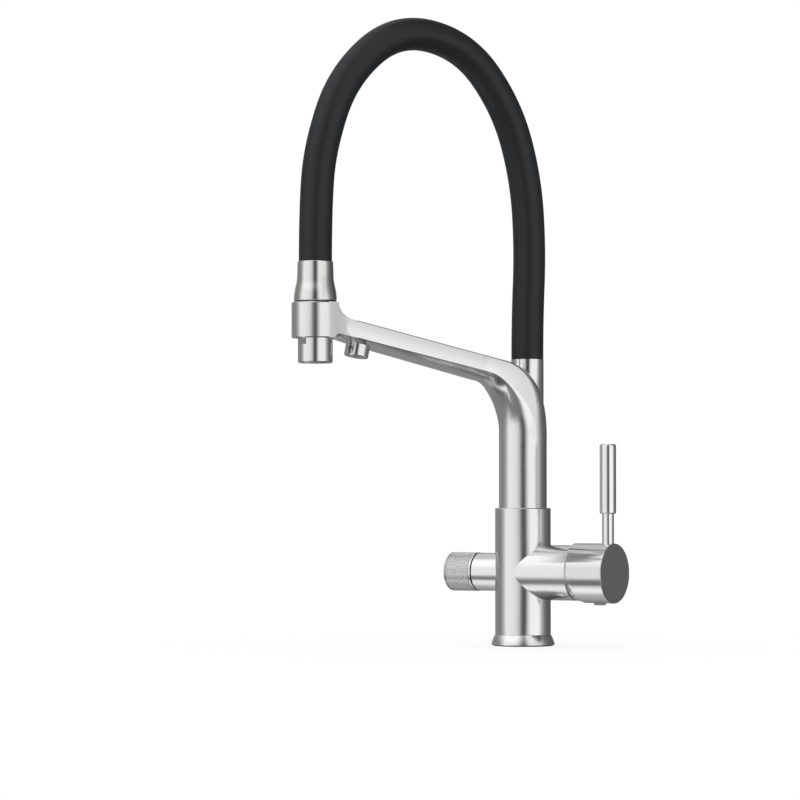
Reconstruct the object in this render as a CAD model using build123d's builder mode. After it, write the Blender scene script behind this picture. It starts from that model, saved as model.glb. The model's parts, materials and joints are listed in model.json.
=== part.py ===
from build123d import *
import math
import os

# Three-way kitchen mixer tap. Millimetres, +Z up, origin at the middle of the foot on the worktop.
# The user stands at -Y, the mixing lever is on +X and the filter knob on -X.

os.makedirs("parts", exist_ok=True)

# Fits
RUNNING = 0.08          # radial clearance of a piece that turns in another
LAPPED = 0.05           # air between faces that slide on each other
GAP = 0.35              # air between pieces of different moving bodies

# Foot
BODY_R = 22.2           # upright barrel of the body
FOOT_FLARE = 3.05       # how far the foot ring stands out from the barrel
FOOT_ARC_OUT = 0.73     # shares of the flare and of the height where the ring's arc has its middle
FOOT_ARC_UP = 0.47
SEAL_PLAY = 0.4         # between the seal and the body's spigot
FOOT_TOP = 8.8          # where the barrel stands on the foot ring
SEAL_H = 1.2            # rubber seal under the foot
SEAL_GROOVE = 0.5       # how deep the seal sits in the foot ring
SEAL_INSET = 1.6        # rim of the foot ring left outside the seal
SPIGOT_STEP = 2.7       # the barrel's spigot is this much slimmer than the barrel
SPIGOT_LIFT = 0.8       # underside of the spigot above the worktop
FOOT_GROOVE = 0.4       # bevel round the bottom of the barrel
FOOT_BEVEL = 0.35       # bevel round the bottom of the foot ring

# Body
BODY_TOP = 109.6
BRANCH_Z = 58.4         # height of both side branches
TOP_EDGE = 0.6          # bevel round the top of the barrel
INLET_X = 8.7           # hot and cold inlets
INLET_Y = 9.0
FILTER_INLET_X = -12.5
INLET_R = 4.5           # M10x1 thread, minor radius
INLET_DEPTH = 13.0
STUD_R = 3.4            # M8 thread, minor radius
STUD_DEPTH = 16.0
WATERWAY_R = 3.0
FILTER_WAY_R = 2.5

# Mixing cartridge and its housing on +X
BORE_R = 17.6
BORE_FLOOR = 27.0
BORE_PLAY = 0.1
CASE_WALL = 2.1
CASE_FLOOR = 4.0
PORT_Y = 8.0            # hot and cold ports from the cartridge axis
PORT_RISE = 4.0
OUTLET_PORT_DROP = 8.0  # mixed water port below the axis
PORT_SEAL_WALL = 1.6
FIXED_DISC_T = 3.8
MOVING_DISC_T = 3.1
CARRIER_T = 4.65
CARRIER_FLAT = 10.8     # half the width across the carrier's flats
DISC_POCKET_R = 7.0
DISC_POCKET_DROP = 2.0
DISC_POCKET_DEPTH = 1.8
TURRET_T = 2.9
LID_T = 4.0
NUT_T = 6.0
NUT_WALL = 1.0          # thread depth of the nut
NECK_R = 11.0
NUT_BORE_R = 12.0
SPINDLE_HALF = 2.9      # half the spindle's square
SPINDLE_LENGTH = 24.0   # outward from the pivot
BALL_REACH = 15.5       # inward from the pivot to the ball
BALL_R = 2.3
BALL_ARM_R = 1.9
PIN_R = 1.5
LEVER_TRAVEL = 22.0     # degrees
SPIGOT_WALL = 1.8       # wall of the threaded spigot that carries the dome
HOUSING_WALL = 1.5
DOME_STEP = 0.4         # the dome's crown above the housing
DOME_PLATE = 4.0
DOME_REACH = 5.0        # front of the dome, outward from the pivot
DOME_HOLE_R = 13.0

# Handle
CAP_WALL = 0.9
CAP_LENGTH = 28.0       # from the pivot to the flat end
CAP_REAR_TOP = -6.8     # the rear edge is cut on the slant, from the pivot
CAP_REAR_BOTTOM = 3.0
CAP_EDGE = 0.6
CAVITY_DEPTH = 13.5     # hollow of the cap, outward from the pivot
CAVITY_HEART = 9.0      # depth of the hollow on the axis
CAVITY_HEART_R = 7.0
LEVER_SETBACK = 6.2     # lever axis behind the cap's flat end
STEM_R = 4.7
STEM_SEAT = 12.5        # foot of the stem above the branch axis
GRIP_START = 46.9       # above the branch axis
GRIP_END = 101.7
GRIP_R = 6.45
GRIP_EDGE = 1.6
GRIP_LOW_EDGE = 1.0
GRIP_PIN_R = 3.2
GRIP_PIN_L = 10.0
PLUG_SETBACK = 13.4     # plug axis behind the cap's flat end
PLUG_R = 4.7
PLUG_DEPTH = 2.4
PLUG_PROUD = 1.5
PLUG_STUB_L = 1.2
GRUB_R = 2.5
GRUB_L = 8.0
HEX_DEPTH = 3.0         # hexagon sockets of the grub screws

# Filter valve and knob on -X, lengths measured along the branch from the barrel's axis
STUB_R = 15.2
STUB_END = 39.4
VALVE_SEAT = 16.0
VALVE_R = 8.9
VALVE_HEAD_R = 11.4
VALVE_HEAD_T = 4.0
VALVE_NECK_R = 6.6
VALVE_NECK_L = 6.6
CHAMBER_R = 6.5
CHAMBER_L = 15.0
FILTER_SEAL_T = 1.5
FILTER_DISC_T = 3.0
FILTER_PORT = 3.7       # ports above and below the branch axis
FILTER_PORT_R = 2.1
DRIVER_T = 6.0
KNOB_SHAFT_R = 4.0
WASHER_T = 1.0
WASHER_INSET = 0.6
KNOB_R = 15.5
KNOB_L = 24.9
KNOB_EDGE = 1.2
KNOB_RIM = 1.4          # plain rims at both ends of the knurled band
KNURL_DEPTH = 0.45
KNOB_WALL = 3.2
KNOB_CAVITY_L = 11.3
KNOB_WEB = 4.6          # solid end beyond the shaft
KNOB_SCREW_IN = 8.2     # screw axis behind the knob's end

# Spout: socket, riser, bend and arm
SPOUT_TURN = 24.0       # the arm points this far from -Y towards -X, degrees
SPOUT_SWING = 160.0     # to each side of straight ahead, degrees
SOCKET_DEPTH = 25.6
SOCKET_R = 17.2
SOCKET_AIR = 0.6        # under the spigot
RISER_STEP = 1.8        # the riser is this much wider than its spigot's socket
RISER_SINK = 1.8        # foot of the riser below the barrel's top
COLLAR_STEP = 0.25      # the riser's foot stands out this much, as a collar in the barrel's recess
COLLAR_H = 2.2
THRUST_T = 0.75
RISER_BORE_R = 13.5
RISER_BORE_DROP = 4.9   # top of the riser's bore below the foot of the bend
ORING_H = 2.2
ORING_DEPTH = 2.1
SLIP_H = 2.0
SLIP_DEPTH = 1.4
GROOVE_WALL = 1.3       # metal between neighbouring grooves
STOP_H = 5.0            # groove in which the lock screw runs
STOP_DEPTH = 1.7
LOCK_SCREW_R = 2.0
TUBE_SEAL_R = 5.0
TUBE_SEAL_H = 1.8
ARM_RISE = 11.2         # degrees
ARM_T = 13.3            # between the arm's corners, at the outlet and the ring
BEND_T = 12.3           # the same where the bend ends
ARM_W = 32.8
ARM_EDGE = 1.0
TOP_CROWN = 0.9         # how far the upper face bulges
SIDE_CROWN = 0.25
BEND_BELLY = 6.5        # bulge of the lower face where the bend ends
OUTLET_BELLY = 3.6      # the same bulge at the filter outlet
RING_BELLY = 0.2        # and inside the ring
ARM_END_Z = 253.2       # the arm's middle line at the ring's axis
BEND_OUTER_R = 57.0
BEND_INNER_R = 31.0
BEND_SECTIONS = 8
BEND_LEAD = 8.0         # straight run at both ends of the bend
EDGE_FLAT = 0.3         # flat left beside the corners where the bend starts
TUBE_R = 3.0
TUBE_BORE_R = 2.2
TUBE_AIR = 0.5
TUBE_S = 8.0            # the tube's place in the riser's upper half
TUBE_FOOT = 6.0         # how deep the tube stands in the body
TUBE_RUN = 16.0         # upright start of the tube in the socket
TUBE_SHIFT = 36.0       # height in which it moves across to its upper place
TUBE_BEND_R = 28.0

# Ring at the end of the arm
REACH = 195.2
RING_R = 18.3
RING_DROP = 12.5        # the ring's lower face below the arm's middle line
RING_H = 27.5
RING_EDGE = 0.7
TOP_FLARE = 10.0        # how far the hollow curves reach along the ring and the arm
UNDER_FLARE = 5.0
FLARE_END = 51.0        # degrees to each side of the arm
FLARE_STEPS = 12
FLARE_FADE = 4          # how suddenly the flare gives way beside the arm's edge
FLARE_WELD = 0.04       # how deep the flare's edges lie in the metal
NECK_WELD = 0.02        # the same for the neck's
NECK_LEAVE = 4.0        # degrees past the arm's direction at which the neck's walls leave the ring
NECK_BULGE = 10.0       # pull of the neck's wall at the ring
NECK_SLACK = 12.0       # pull of the neck's wall at the arm
NECK_L = 27.0           # from the ring's axis to where the walls reach the arm's sides
NECK_LAP = 1.0          # how far the neck runs on inside the arm
NECK_TOP = 9.8          # start, corner and end of the neck's upper hollow, from the ring's axis
NECK_TOP_CORNER = 12.3
NECK_TOP_END = 24.5
NECK_LOW = 6.9          # the same for the lower hollow
NECK_LOW_CORNER = 8.5
NECK_LOW_END = 14.5
RING_WALL_LAP = 1.5     # how far the arm's end stays behind the ring's axis
BUSH_WALL = 1.9
BUSH_LIFT = 0.5
BUSH_FLANGE = 0.7       # how far the bush's flange stands out, and its thickness

# Filter outlet under the arm
OUTLET_SETBACK = 38.9   # from the ring's axis
OUTLET_R = 9.45
OUTLET_SEAT = 2.2       # below the arm's lower corners
OUTLET_LENGTH = 9.6
OUTLET_WALL = 1.4
OUTLET_NECK_R = 7.0
OUTLET_NECK_L = 3.4
OUTLET_CHAMBER_R = 5.8
OUTLET_CHAMBER_L = 11.9
AERATOR_T = 6.0
AERATOR_INSET = 1.0
MESH_HOLE_R = 0.8
MESH_PITCH = 2.3

# Hose post, hoses and their fittings
POST_S = -4.5
POST_R = 13.0
POST_LIFT = 4.1         # foot of the post above the foot of the bend
POST_DROP = 24.9        # top of the post below the arm's end
POST_BORE_R = 7.0
POST_THREAD_L = 12.0
TAIL_FLANGE_T = 2.0
TAIL_L = 12.0
FITTING_BORE_R = 3.5
HOSE_R = 12.8
HOSE_WALL = 4.3         # thick soft sleeve
HOSE_AIR = 0.2          # between the sleeve and the water hose
WATER_HOSE_WALL = 2.8
HOSE_SINK = 2.6         # end of the hose below the bell's top

# Spray head
HEAD_R = 13.4
HEAD_AIR = 0.2          # between the bush's flange and the bell
BELL_FLARE = 3.1        # foot of the bell beyond the nozzle
BELL_WAIST = 0.55       # waist of the bell beyond the nozzle
BELL_H = 30.5
BELL_CURVE = 20.3       # height of the bell's double curve
BELL_EDGE = 0.8
BELL_THREAD_L = 10.0
BELL_LIP_L = 3.1
BELL_CAVITY_R = 11.5
NOZZLE_SHOW = 9.5       # height of the nozzle between the ring and the seam
NOZZLE_COLLAR_H = 9.8
NOZZLE_EDGE = 1.6
NOZZLE_BORE_R = 9.5
NOZZLE_PLATE_T = 5.0
NOZZLE_THREAD_R = 11.7
NOZZLE_THREAD_L = 6.8
NOZZLE_SEAL_T = 1.5
SEAM_DEPTH = 0.35
FLAT_OFFSET = 12.0      # spanner flats on the nozzle
FLAT_FROM = 4.6         # above the seam
FLAT_H = 4.6
SWIVEL_R = 6.0
SWIVEL_FOOT = 11.0      # stub below the top of the nozzle
SWIVEL_COLLAR_R = 8.2
SWIVEL_COLLAR_T = 3.0
SWIVEL_FLANGE_T = 3.0
SWIVEL_SEAL_R = 7.6
SWIVEL_SEAL_H = 1.8
CLIP_R = 8.0
CLIP_T = 1.6
CHECK_VALVE_LIFT = 20.8 # above the seam
CHECK_VALVE_T = 10.0
CHECK_VALVE_BORE_R = 4.5
HEAD_AERATOR_R = 11.2
HEAD_AERATOR_T = 6.5
HEAD_AERATOR_INSET = 0.9

# Sizes that follow from the ones above
spigot_r = BODY_R - SPIGOT_STEP
foot_r = BODY_R + FOOT_FLARE
foot_low = SEAL_H - SEAL_GROOVE

case_r = BORE_R - BORE_PLAY
case_bore_r = case_r - CASE_WALL
nut_r = BORE_R + NUT_WALL
dome_spigot_r = nut_r + SPIGOT_WALL
housing_r = dome_spigot_r + HOUSING_WALL
dome_r = housing_r + DOME_STEP
cavity_r = dome_r + GAP
cap_r = cavity_r + CAP_WALL

disc_x = BORE_FLOOR + CASE_FLOOR
moving_disc_x = disc_x + FIXED_DISC_T + LAPPED
carrier_x = moving_disc_x + MOVING_DISC_T
turret_x = carrier_x + CARRIER_T + GAP
lid_x = turret_x + TURRET_T + LAPPED
nut_x = lid_x + LID_T
pivot_x = nut_x + NUT_T
housing_end = nut_x
dome_spigot_end = pivot_x - 1
dome_front = pivot_x + DOME_REACH
neck_end = dome_front - 1
ball_tilt = math.radians(LEVER_TRAVEL / 2)
disc_drop = BALL_REACH * math.sin(ball_tilt)
carrier_r = case_bore_r - GAP - disc_drop
moving_disc_r = carrier_r - 0.6

cap_end = pivot_x + CAP_LENGTH
lever_x = cap_end - LEVER_SETBACK
plug_x = cap_end - PLUG_SETBACK

valve_head_end = STUB_END + VALVE_HEAD_T
valve_neck_end = valve_head_end + VALVE_NECK_L
filter_disc_w = VALVE_SEAT + FILTER_SEAL_T
moving_filter_w = filter_disc_w + FILTER_DISC_T + LAPPED
driver_w = moving_filter_w + FILTER_DISC_T
knob_start = STUB_END + WASHER_T + GAP
knob_end = knob_start + KNOB_L
shaft_end = knob_end - KNOB_WEB
knob_screw_w = knob_end - KNOB_SCREW_IN

spigot_out_r = SOCKET_R - RUNNING
riser_r = SOCKET_R + RISER_STEP
collar_r = riser_r + COLLAR_STEP
riser_start = BODY_TOP - RISER_SINK
socket_floor = BODY_TOP - SOCKET_DEPTH
spigot_start = socket_floor + SOCKET_AIR
tube_foot = socket_floor - TUBE_FOOT
lower_slip_z = spigot_start + GROOVE_WALL / 2
lower_oring_z = lower_slip_z + SLIP_H + GROOVE_WALL
stop_z = lower_oring_z + ORING_H + GROOVE_WALL + STOP_H / 2
upper_oring_z = stop_z + STOP_H / 2 + GROOVE_WALL
upper_slip_z = upper_oring_z + ORING_H + GROOVE_WALL

hose_bore_r = HOSE_R - HOSE_WALL
water_hose_r = hose_bore_r - HOSE_AIR
tail_r = water_hose_r - WATER_HOSE_WALL

bush_bore_r = HEAD_R + GAP
bush_r = bush_bore_r + BUSH_WALL
ring_bottom = ARM_END_Z - RING_DROP
ring_top = ring_bottom + RING_H
bell_bottom = ring_top + BUSH_FLANGE + HEAD_AIR
bell_top = bell_bottom + BELL_H
nozzle_top = bell_bottom + BELL_THREAD_L
nozzle_seam = ring_bottom - NOZZLE_SHOW
nozzle_bottom = nozzle_seam - NOZZLE_COLLAR_H
hose_head_z = bell_top - HOSE_SINK
outlet_s = REACH - OUTLET_SETBACK

# Directions and planes
turn = math.radians(SPOUT_TURN)
rise = math.radians(ARM_RISE)
arm_out = Vector(-math.sin(turn), -math.cos(turn), 0)
arm_side = arm_out.cross(Vector(0, 0, 1))
arm_along = arm_out * math.cos(rise) + Vector(0, 0, math.sin(rise))
arm_up = Vector(0, 0, math.cos(rise)) - arm_out * math.sin(rise)
ARM = Plane(origin=(0, 0, 0), x_dir=arm_out, z_dir=arm_side)
BRANCH = Plane(origin=(0, 0, BRANCH_Z), x_dir=(1, 0, 0), z_dir=(0, -1, 0))
KNOB = Plane(origin=(0, 0, BRANCH_Z), x_dir=(-1, 0, 0), z_dir=(0, 1, 0))
HEAD = Plane(origin=arm_out * REACH, x_dir=arm_out, z_dir=arm_side)
POST = Plane(origin=arm_out * POST_S, x_dir=arm_out, z_dir=arm_side)
ring_at = (HEAD.origin.X, HEAD.origin.Y)
BRANCH_AXIS = Axis((0, 0, BRANCH_Z), (1, 0, 0))
HEAD_AXIS = Axis(HEAD.origin, (0, 0, 1))
POST_AXIS = Axis(POST.origin, (0, 0, 1))


def polygon(plane, *points):
    """A closed outline of straight lines on a plane."""
    with BuildSketch(plane) as drawing:
        with BuildLine():
            Polyline(*points, close=True)
        make_face()
    return drawing.sketch


def band(plane, x0, x1, y0, y1):
    """A rectangle on a plane between two x and two y values."""
    return polygon(plane, (x0, y0), (x1, y0), (x1, y1), (x0, y1))


def circles(plane, radius, *centres):
    """Equal circles on a plane."""
    with BuildSketch(plane) as drawing:
        with Locations(*centres):
            Circle(radius)
    return drawing.sketch


def washer(plane, outer, inner, *centres):
    """Equal flat rings on a plane."""
    with BuildSketch(plane) as drawing:
        with Locations(*(centres or [(0, 0)])):
            Circle(outer)
            Circle(inner, mode=Mode.SUBTRACT)
    return drawing.sketch


def honeycomb(plane, reach):
    """Small circles in rows, as many as fit inside a reach."""
    rows = int(2 * reach / MESH_PITCH)
    spots = []
    for row in range(-rows, rows + 1):
        for column in range(-rows, rows + 1):
            x = (column + row / 2) * MESH_PITCH
            y = row * MESH_PITCH * math.sqrt(3) / 2
            if math.hypot(x, y) + MESH_HOLE_R < reach:
                spots.append((x, y))
    return circles(plane, MESH_HOLE_R, *spots)


def upright(z, centre=(0, 0)):
    """The level plane at a height, with its origin on an upright axis."""
    return Plane(origin=(centre[0], centre[1], z), x_dir=(1, 0, 0), z_dir=(0, 0, 1))


def across(x):
    """The plane across the mixing branch at x, facing +X, with its own x on +Y and y on +Z."""
    return Plane(origin=(x, 0, BRANCH_Z), x_dir=(0, 1, 0), z_dir=(1, 0, 0))


def across_knob(w):
    """The plane across the filter branch, facing -X, with its own x on +Y and y on +Z."""
    return Plane(origin=(-w, 0, BRANCH_Z), x_dir=(0, -1, 0), z_dir=(-1, 0, 0))


def on_arm(s, z):
    """A point of the arm's upright plane."""
    return arm_out * s + Vector(0, 0, z)


def arm_mid(s):
    """Height of the arm's middle line at a distance from the riser's axis."""
    return ARM_END_Z - (REACH - s) * math.tan(rise)


# Foot
with BuildPart() as base_seal:
    revolve(band(Plane.XZ, spigot_r + SEAL_PLAY, foot_r - SEAL_INSET, 0, SEAL_H), axis=Axis.Z)
base_seal.part.label = "base_seal"
export_step(base_seal.part, "parts/base_seal.step")

with BuildPart() as base_ring:
    with BuildSketch(Plane.XZ):
        with BuildLine():
            ring_start = (foot_r, foot_low + FOOT_BEVEL)
            ring_end = (BODY_R + 0.1, FOOT_TOP)
            Polyline(ring_end, (spigot_r, FOOT_TOP), (spigot_r, foot_low))
            Polyline((spigot_r, foot_low), (foot_r - FOOT_BEVEL, foot_low), ring_start)
            ring_mid = (BODY_R + FOOT_ARC_OUT * FOOT_FLARE, FOOT_ARC_UP * FOOT_TOP)
            ThreePointArc(ring_start, ring_mid, ring_end)
        make_face()
    revolve(axis=Axis.Z)
    seal_groove = band(Plane.XZ, spigot_r + SEAL_PLAY, foot_r - SEAL_INSET, foot_low, SEAL_H)
    revolve(seal_groove, axis=Axis.Z, mode=Mode.SUBTRACT)
base_ring.part.label = "base_ring"
export_step(base_ring.part, "parts/base_ring.step")

# Body casting
with BuildPart() as mixer_body:
    revolve(
        polygon(
            Plane.XZ,
            (0, SPIGOT_LIFT),
            (spigot_r, SPIGOT_LIFT),
            (spigot_r, FOOT_TOP),
            (BODY_R - FOOT_GROOVE, FOOT_TOP),
            (BODY_R, FOOT_TOP + FOOT_GROOVE),
            (BODY_R, BODY_TOP - TOP_EDGE),
            (BODY_R - TOP_EDGE, BODY_TOP),
            (0, BODY_TOP),
        ),
        axis=Axis.Z,
    )
    extrude(circles(across(0), housing_r, (0, 0)), amount=housing_end)
    extrude(circles(across(0), dome_spigot_r, (0, 0)), amount=dome_spigot_end)
    extrude(circles(across_knob(0), STUB_R, (0, 0)), amount=STUB_END)
    # bores for the cartridge, its nut, the filter valve and the spout
    extrude(circles(across(BORE_FLOOR), BORE_R, (0, 0)), amount=pivot_x, mode=Mode.SUBTRACT)
    extrude(circles(across(nut_x - 0.5), nut_r, (0, 0)), amount=pivot_x, mode=Mode.SUBTRACT)
    extrude(circles(across_knob(VALVE_SEAT), VALVE_R, (0, 0)), amount=STUB_END, mode=Mode.SUBTRACT)
    extrude(circles(upright(socket_floor), SOCKET_R, (0, 0)), amount=BODY_TOP, mode=Mode.SUBTRACT)
    thrust_floor = riser_start - THRUST_T - LAPPED
    extrude(circles(upright(thrust_floor), collar_r + RUNNING, (0, 0)), amount=BODY_TOP, mode=Mode.SUBTRACT)
    # threaded inlets and the stud hole in the underside
    inlet_spots = ((INLET_X, INLET_Y), (INLET_X, -INLET_Y), (FILTER_INLET_X, 0))
    extrude(circles(upright(SPIGOT_LIFT), INLET_R, *inlet_spots), amount=INLET_DEPTH, mode=Mode.SUBTRACT)
    extrude(circles(upright(SPIGOT_LIFT), STUD_R, (0, 0)), amount=STUD_DEPTH, mode=Mode.SUBTRACT)
    # hot and cold water ways up to the cartridge
    inlet_top = SPIGOT_LIFT + INLET_DEPTH
    sides = (PORT_Y, -PORT_Y)
    rising = circles(upright(inlet_top), WATERWAY_R, *((INLET_X, y) for y in sides))
    extrude(rising, amount=BRANCH_Z + PORT_RISE - inlet_top, mode=Mode.SUBTRACT)
    ports = circles(across(INLET_X), WATERWAY_R, *((y, PORT_RISE) for y in sides))
    extrude(ports, amount=BORE_FLOOR - INLET_X, mode=Mode.SUBTRACT)
    # mixed water back from the cartridge and up to the spout
    mixed = circles(across(INLET_X), WATERWAY_R, (0, -OUTLET_PORT_DROP))
    extrude(mixed, amount=BORE_FLOOR - INLET_X, mode=Mode.SUBTRACT)
    mixed_z = BRANCH_Z - OUTLET_PORT_DROP
    mixed_riser = circles(upright(mixed_z), WATERWAY_R, (INLET_X, 0))
    extrude(mixed_riser, amount=socket_floor - mixed_z, mode=Mode.SUBTRACT)
    # filtered water up to the valve, and from the valve to the tube in the spout
    extrude(
        circles(upright(inlet_top), WATERWAY_R, (FILTER_INLET_X, 0)),
        amount=BRANCH_Z - FILTER_PORT - inlet_top,
        mode=Mode.SUBTRACT,
    )
    extrude(
        circles(across_knob(-FILTER_INLET_X), FILTER_WAY_R, (0, -FILTER_PORT)),
        amount=VALVE_SEAT + FILTER_INLET_X,
        mode=Mode.SUBTRACT,
    )
    extrude(circles(across_knob(0), FILTER_WAY_R, (0, FILTER_PORT)), amount=VALVE_SEAT, mode=Mode.SUBTRACT)
    filter_z = BRANCH_Z + FILTER_PORT
    filter_rise = socket_floor - filter_z
    extrude(circles(upright(filter_z), FILTER_WAY_R, (0, 0)), amount=filter_rise, mode=Mode.SUBTRACT)

    extrude(circles(upright(tube_foot), TUBE_R + RUNNING, (0, 0)), amount=TUBE_FOOT, mode=Mode.SUBTRACT)
    seal_seat = upright(socket_floor - TUBE_SEAL_H)
    extrude(circles(seal_seat, TUBE_SEAL_R, (0, 0)), amount=TUBE_SEAL_H, mode=Mode.SUBTRACT)
    # hole at the back for the screw that keeps the spout in its socket
    back = Plane(origin=(0, 0, stop_z), x_dir=(1, 0, 0), z_dir=(0, 1, 0))
    extrude(circles(back, LOCK_SCREW_R, (0, 0)), amount=BODY_R + 1, mode=Mode.SUBTRACT)
mixer_body.part.label = "mixer_body"
export_step(mixer_body.part, "parts/mixer_body.step")

with BuildPart() as filter_tube_seal:
    seal_z = socket_floor - TUBE_SEAL_H
    extrude(washer(upright(seal_z), TUBE_SEAL_R, TUBE_R + RUNNING), amount=TUBE_SEAL_H - 0.1)
filter_tube_seal.part.label = "filter_tube_seal"
export_step(filter_tube_seal.part, "parts/filter_tube_seal.step")

with BuildPart() as spout_lock_screw:
    screw_start = spigot_out_r - STOP_DEPTH + GAP
    screw = Plane(origin=(0, screw_start, stop_z), x_dir=(1, 0, 0), z_dir=(0, 1, 0))
    extrude(circles(screw, LOCK_SCREW_R, (0, 0)), amount=BODY_R - 0.4 - screw_start)
    socket = Plane(origin=(0, BODY_R - 0.4, stop_z), x_dir=(1, 0, 0), z_dir=(0, -1, 0))
    with BuildSketch(socket):
        RegularPolygon(LOCK_SCREW_R / 2, 6)
    extrude(amount=2.2, mode=Mode.SUBTRACT)
spout_lock_screw.part.label = "spout_lock_screw"
export_step(spout_lock_screw.part, "parts/spout_lock_screw.step")

# Mixing cartridge, pieces that stay still
port_spots = ((PORT_Y, PORT_RISE), (-PORT_Y, PORT_RISE), (0, -OUTLET_PORT_DROP))
port_seal_r = WATERWAY_R + PORT_SEAL_WALL

with BuildPart() as cartridge_seals:
    extrude(washer(across(BORE_FLOOR), port_seal_r, WATERWAY_R, *port_spots), amount=PORT_SEAL_WALL)
cartridge_seals.part.label = "cartridge_seals"
export_step(cartridge_seals.part, "parts/cartridge_seals.step")

with BuildPart() as cartridge_case:
    extrude(circles(across(BORE_FLOOR), case_r, (0, 0)), amount=lid_x - BORE_FLOOR)
    extrude(circles(across(disc_x), case_bore_r, (0, 0)), amount=lid_x, mode=Mode.SUBTRACT)
    extrude(circles(across(BORE_FLOOR), WATERWAY_R, *port_spots), amount=CASE_FLOOR, mode=Mode.SUBTRACT)
    ports = circles(across(BORE_FLOOR), port_seal_r, *port_spots)
    extrude(ports, amount=PORT_SEAL_WALL, mode=Mode.SUBTRACT)
cartridge_case.part.label = "cartridge_case"
export_step(cartridge_case.part, "parts/cartridge_case.step")

with BuildPart() as fixed_ceramic_disc:
    extrude(circles(across(disc_x), case_bore_r, (0, 0)), amount=FIXED_DISC_T)
    extrude(circles(across(disc_x), WATERWAY_R, *port_spots), amount=FIXED_DISC_T, mode=Mode.SUBTRACT)
fixed_ceramic_disc.part.label = "fixed_ceramic_disc"
export_step(fixed_ceramic_disc.part, "parts/fixed_ceramic_disc.step")

with BuildPart() as cartridge_lid:
    extrude(washer(across(lid_x), case_r, NECK_R + RUNNING), amount=LID_T)
cartridge_lid.part.label = "cartridge_lid"
export_step(cartridge_lid.part, "parts/cartridge_lid.step")

with BuildPart() as cartridge_nut:
    extrude(washer(across(nut_x), nut_r, NUT_BORE_R), amount=NUT_T)
    with BuildSketch(across(dome_spigot_end)):
        Circle(nut_r)
        RegularPolygon(nut_r - 2.2, 8, mode=Mode.SUBTRACT)
    extrude(amount=NUT_T, mode=Mode.SUBTRACT)
cartridge_nut.part.label = "cartridge_nut"
export_step(cartridge_nut.part, "parts/cartridge_nut.step")

with BuildPart() as cartridge_dome:
    with BuildSketch(BRANCH):
        with BuildLine():
            rear_r = math.sqrt(dome_r**2 - (pivot_x - housing_end) ** 2)
            front_r = math.sqrt(dome_r**2 - DOME_REACH**2)
            plate_back = dome_front - DOME_PLATE
            ThreePointArc((housing_end, rear_r), (pivot_x, dome_r), (dome_front, front_r))
            Polyline(
                (dome_front, front_r),
                (dome_front, DOME_HOLE_R),
                (plate_back, DOME_HOLE_R),
                (plate_back, dome_spigot_r),
                (housing_end, dome_spigot_r),
                (housing_end, rear_r),
            )
        make_face()
    revolve(axis=BRANCH_AXIS)
cartridge_dome.part.label = "cartridge_dome"
export_step(cartridge_dome.part, "parts/cartridge_dome.step")

# Mixing cartridge, pieces that turn with the handle
with BuildPart() as cartridge_turret:
    extrude(circles(across(turret_x), case_bore_r - GAP, (0, 0)), amount=TURRET_T)
    extrude(circles(across(turret_x), NECK_R, (0, 0)), amount=neck_end - turret_x)
    with BuildSketch(across(carrier_x + GAP)):
        Circle(case_bore_r - GAP)
        Rectangle(2 * (CARRIER_FLAT + 0.1), 4 * BORE_R, mode=Mode.SUBTRACT)
    extrude(amount=turret_x - carrier_x - GAP)
    with BuildSketch(across(turret_x)):
        Rectangle(2 * (SPINDLE_HALF + GAP), 4 * (SPINDLE_HALF + 0.1))
    extrude(amount=neck_end - turret_x, mode=Mode.SUBTRACT)
    pin_plane = Plane(origin=(pivot_x, 0, BRANCH_Z), x_dir=(1, 0, 0), z_dir=(0, 1, 0))
    extrude(circles(pin_plane, PIN_R, (0, 0)), amount=NECK_R, both=True, mode=Mode.SUBTRACT)
cartridge_turret.part.label = "cartridge_turret"
export_step(cartridge_turret.part, "parts/cartridge_turret.step")

with BuildPart() as spindle_pin:
    extrude(circles(pin_plane, PIN_R, (0, 0)), amount=NECK_R - 1.2, both=True)
spindle_pin.part.label = "spindle_pin"
export_step(spindle_pin.part, "parts/spindle_pin.step")

with BuildPart() as moving_ceramic_disc:
    extrude(circles(across(moving_disc_x), moving_disc_r, (0, -disc_drop)), amount=MOVING_DISC_T)
    pocket = circles(across(moving_disc_x), DISC_POCKET_R, (0, -disc_drop - DISC_POCKET_DROP))
    extrude(pocket, amount=DISC_POCKET_DEPTH, mode=Mode.SUBTRACT)
moving_ceramic_disc.part.label = "moving_ceramic_disc"
export_step(moving_ceramic_disc.part, "parts/moving_ceramic_disc.step")

with BuildPart() as disc_carrier:
    with BuildSketch(across(carrier_x)):
        with Locations((0, -disc_drop)):
            Circle(carrier_r)
            Rectangle(2 * CARRIER_FLAT, 4 * carrier_r, mode=Mode.INTERSECT)
            Circle(BALL_R + GAP, mode=Mode.SUBTRACT)
    extrude(amount=CARRIER_T)
disc_carrier.part.label = "disc_carrier"
export_step(disc_carrier.part, "parts/disc_carrier.step")

# Handle
spindle_out = Vector(math.cos(ball_tilt), 0, math.sin(ball_tilt))
PIVOT = Vector(pivot_x, 0, BRANCH_Z)


def along_spindle(distance):
    """The plane across the spindle at a distance outward from the pivot."""
    return Plane(origin=PIVOT + spindle_out * distance, x_dir=(0, 1, 0), z_dir=spindle_out)


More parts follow.
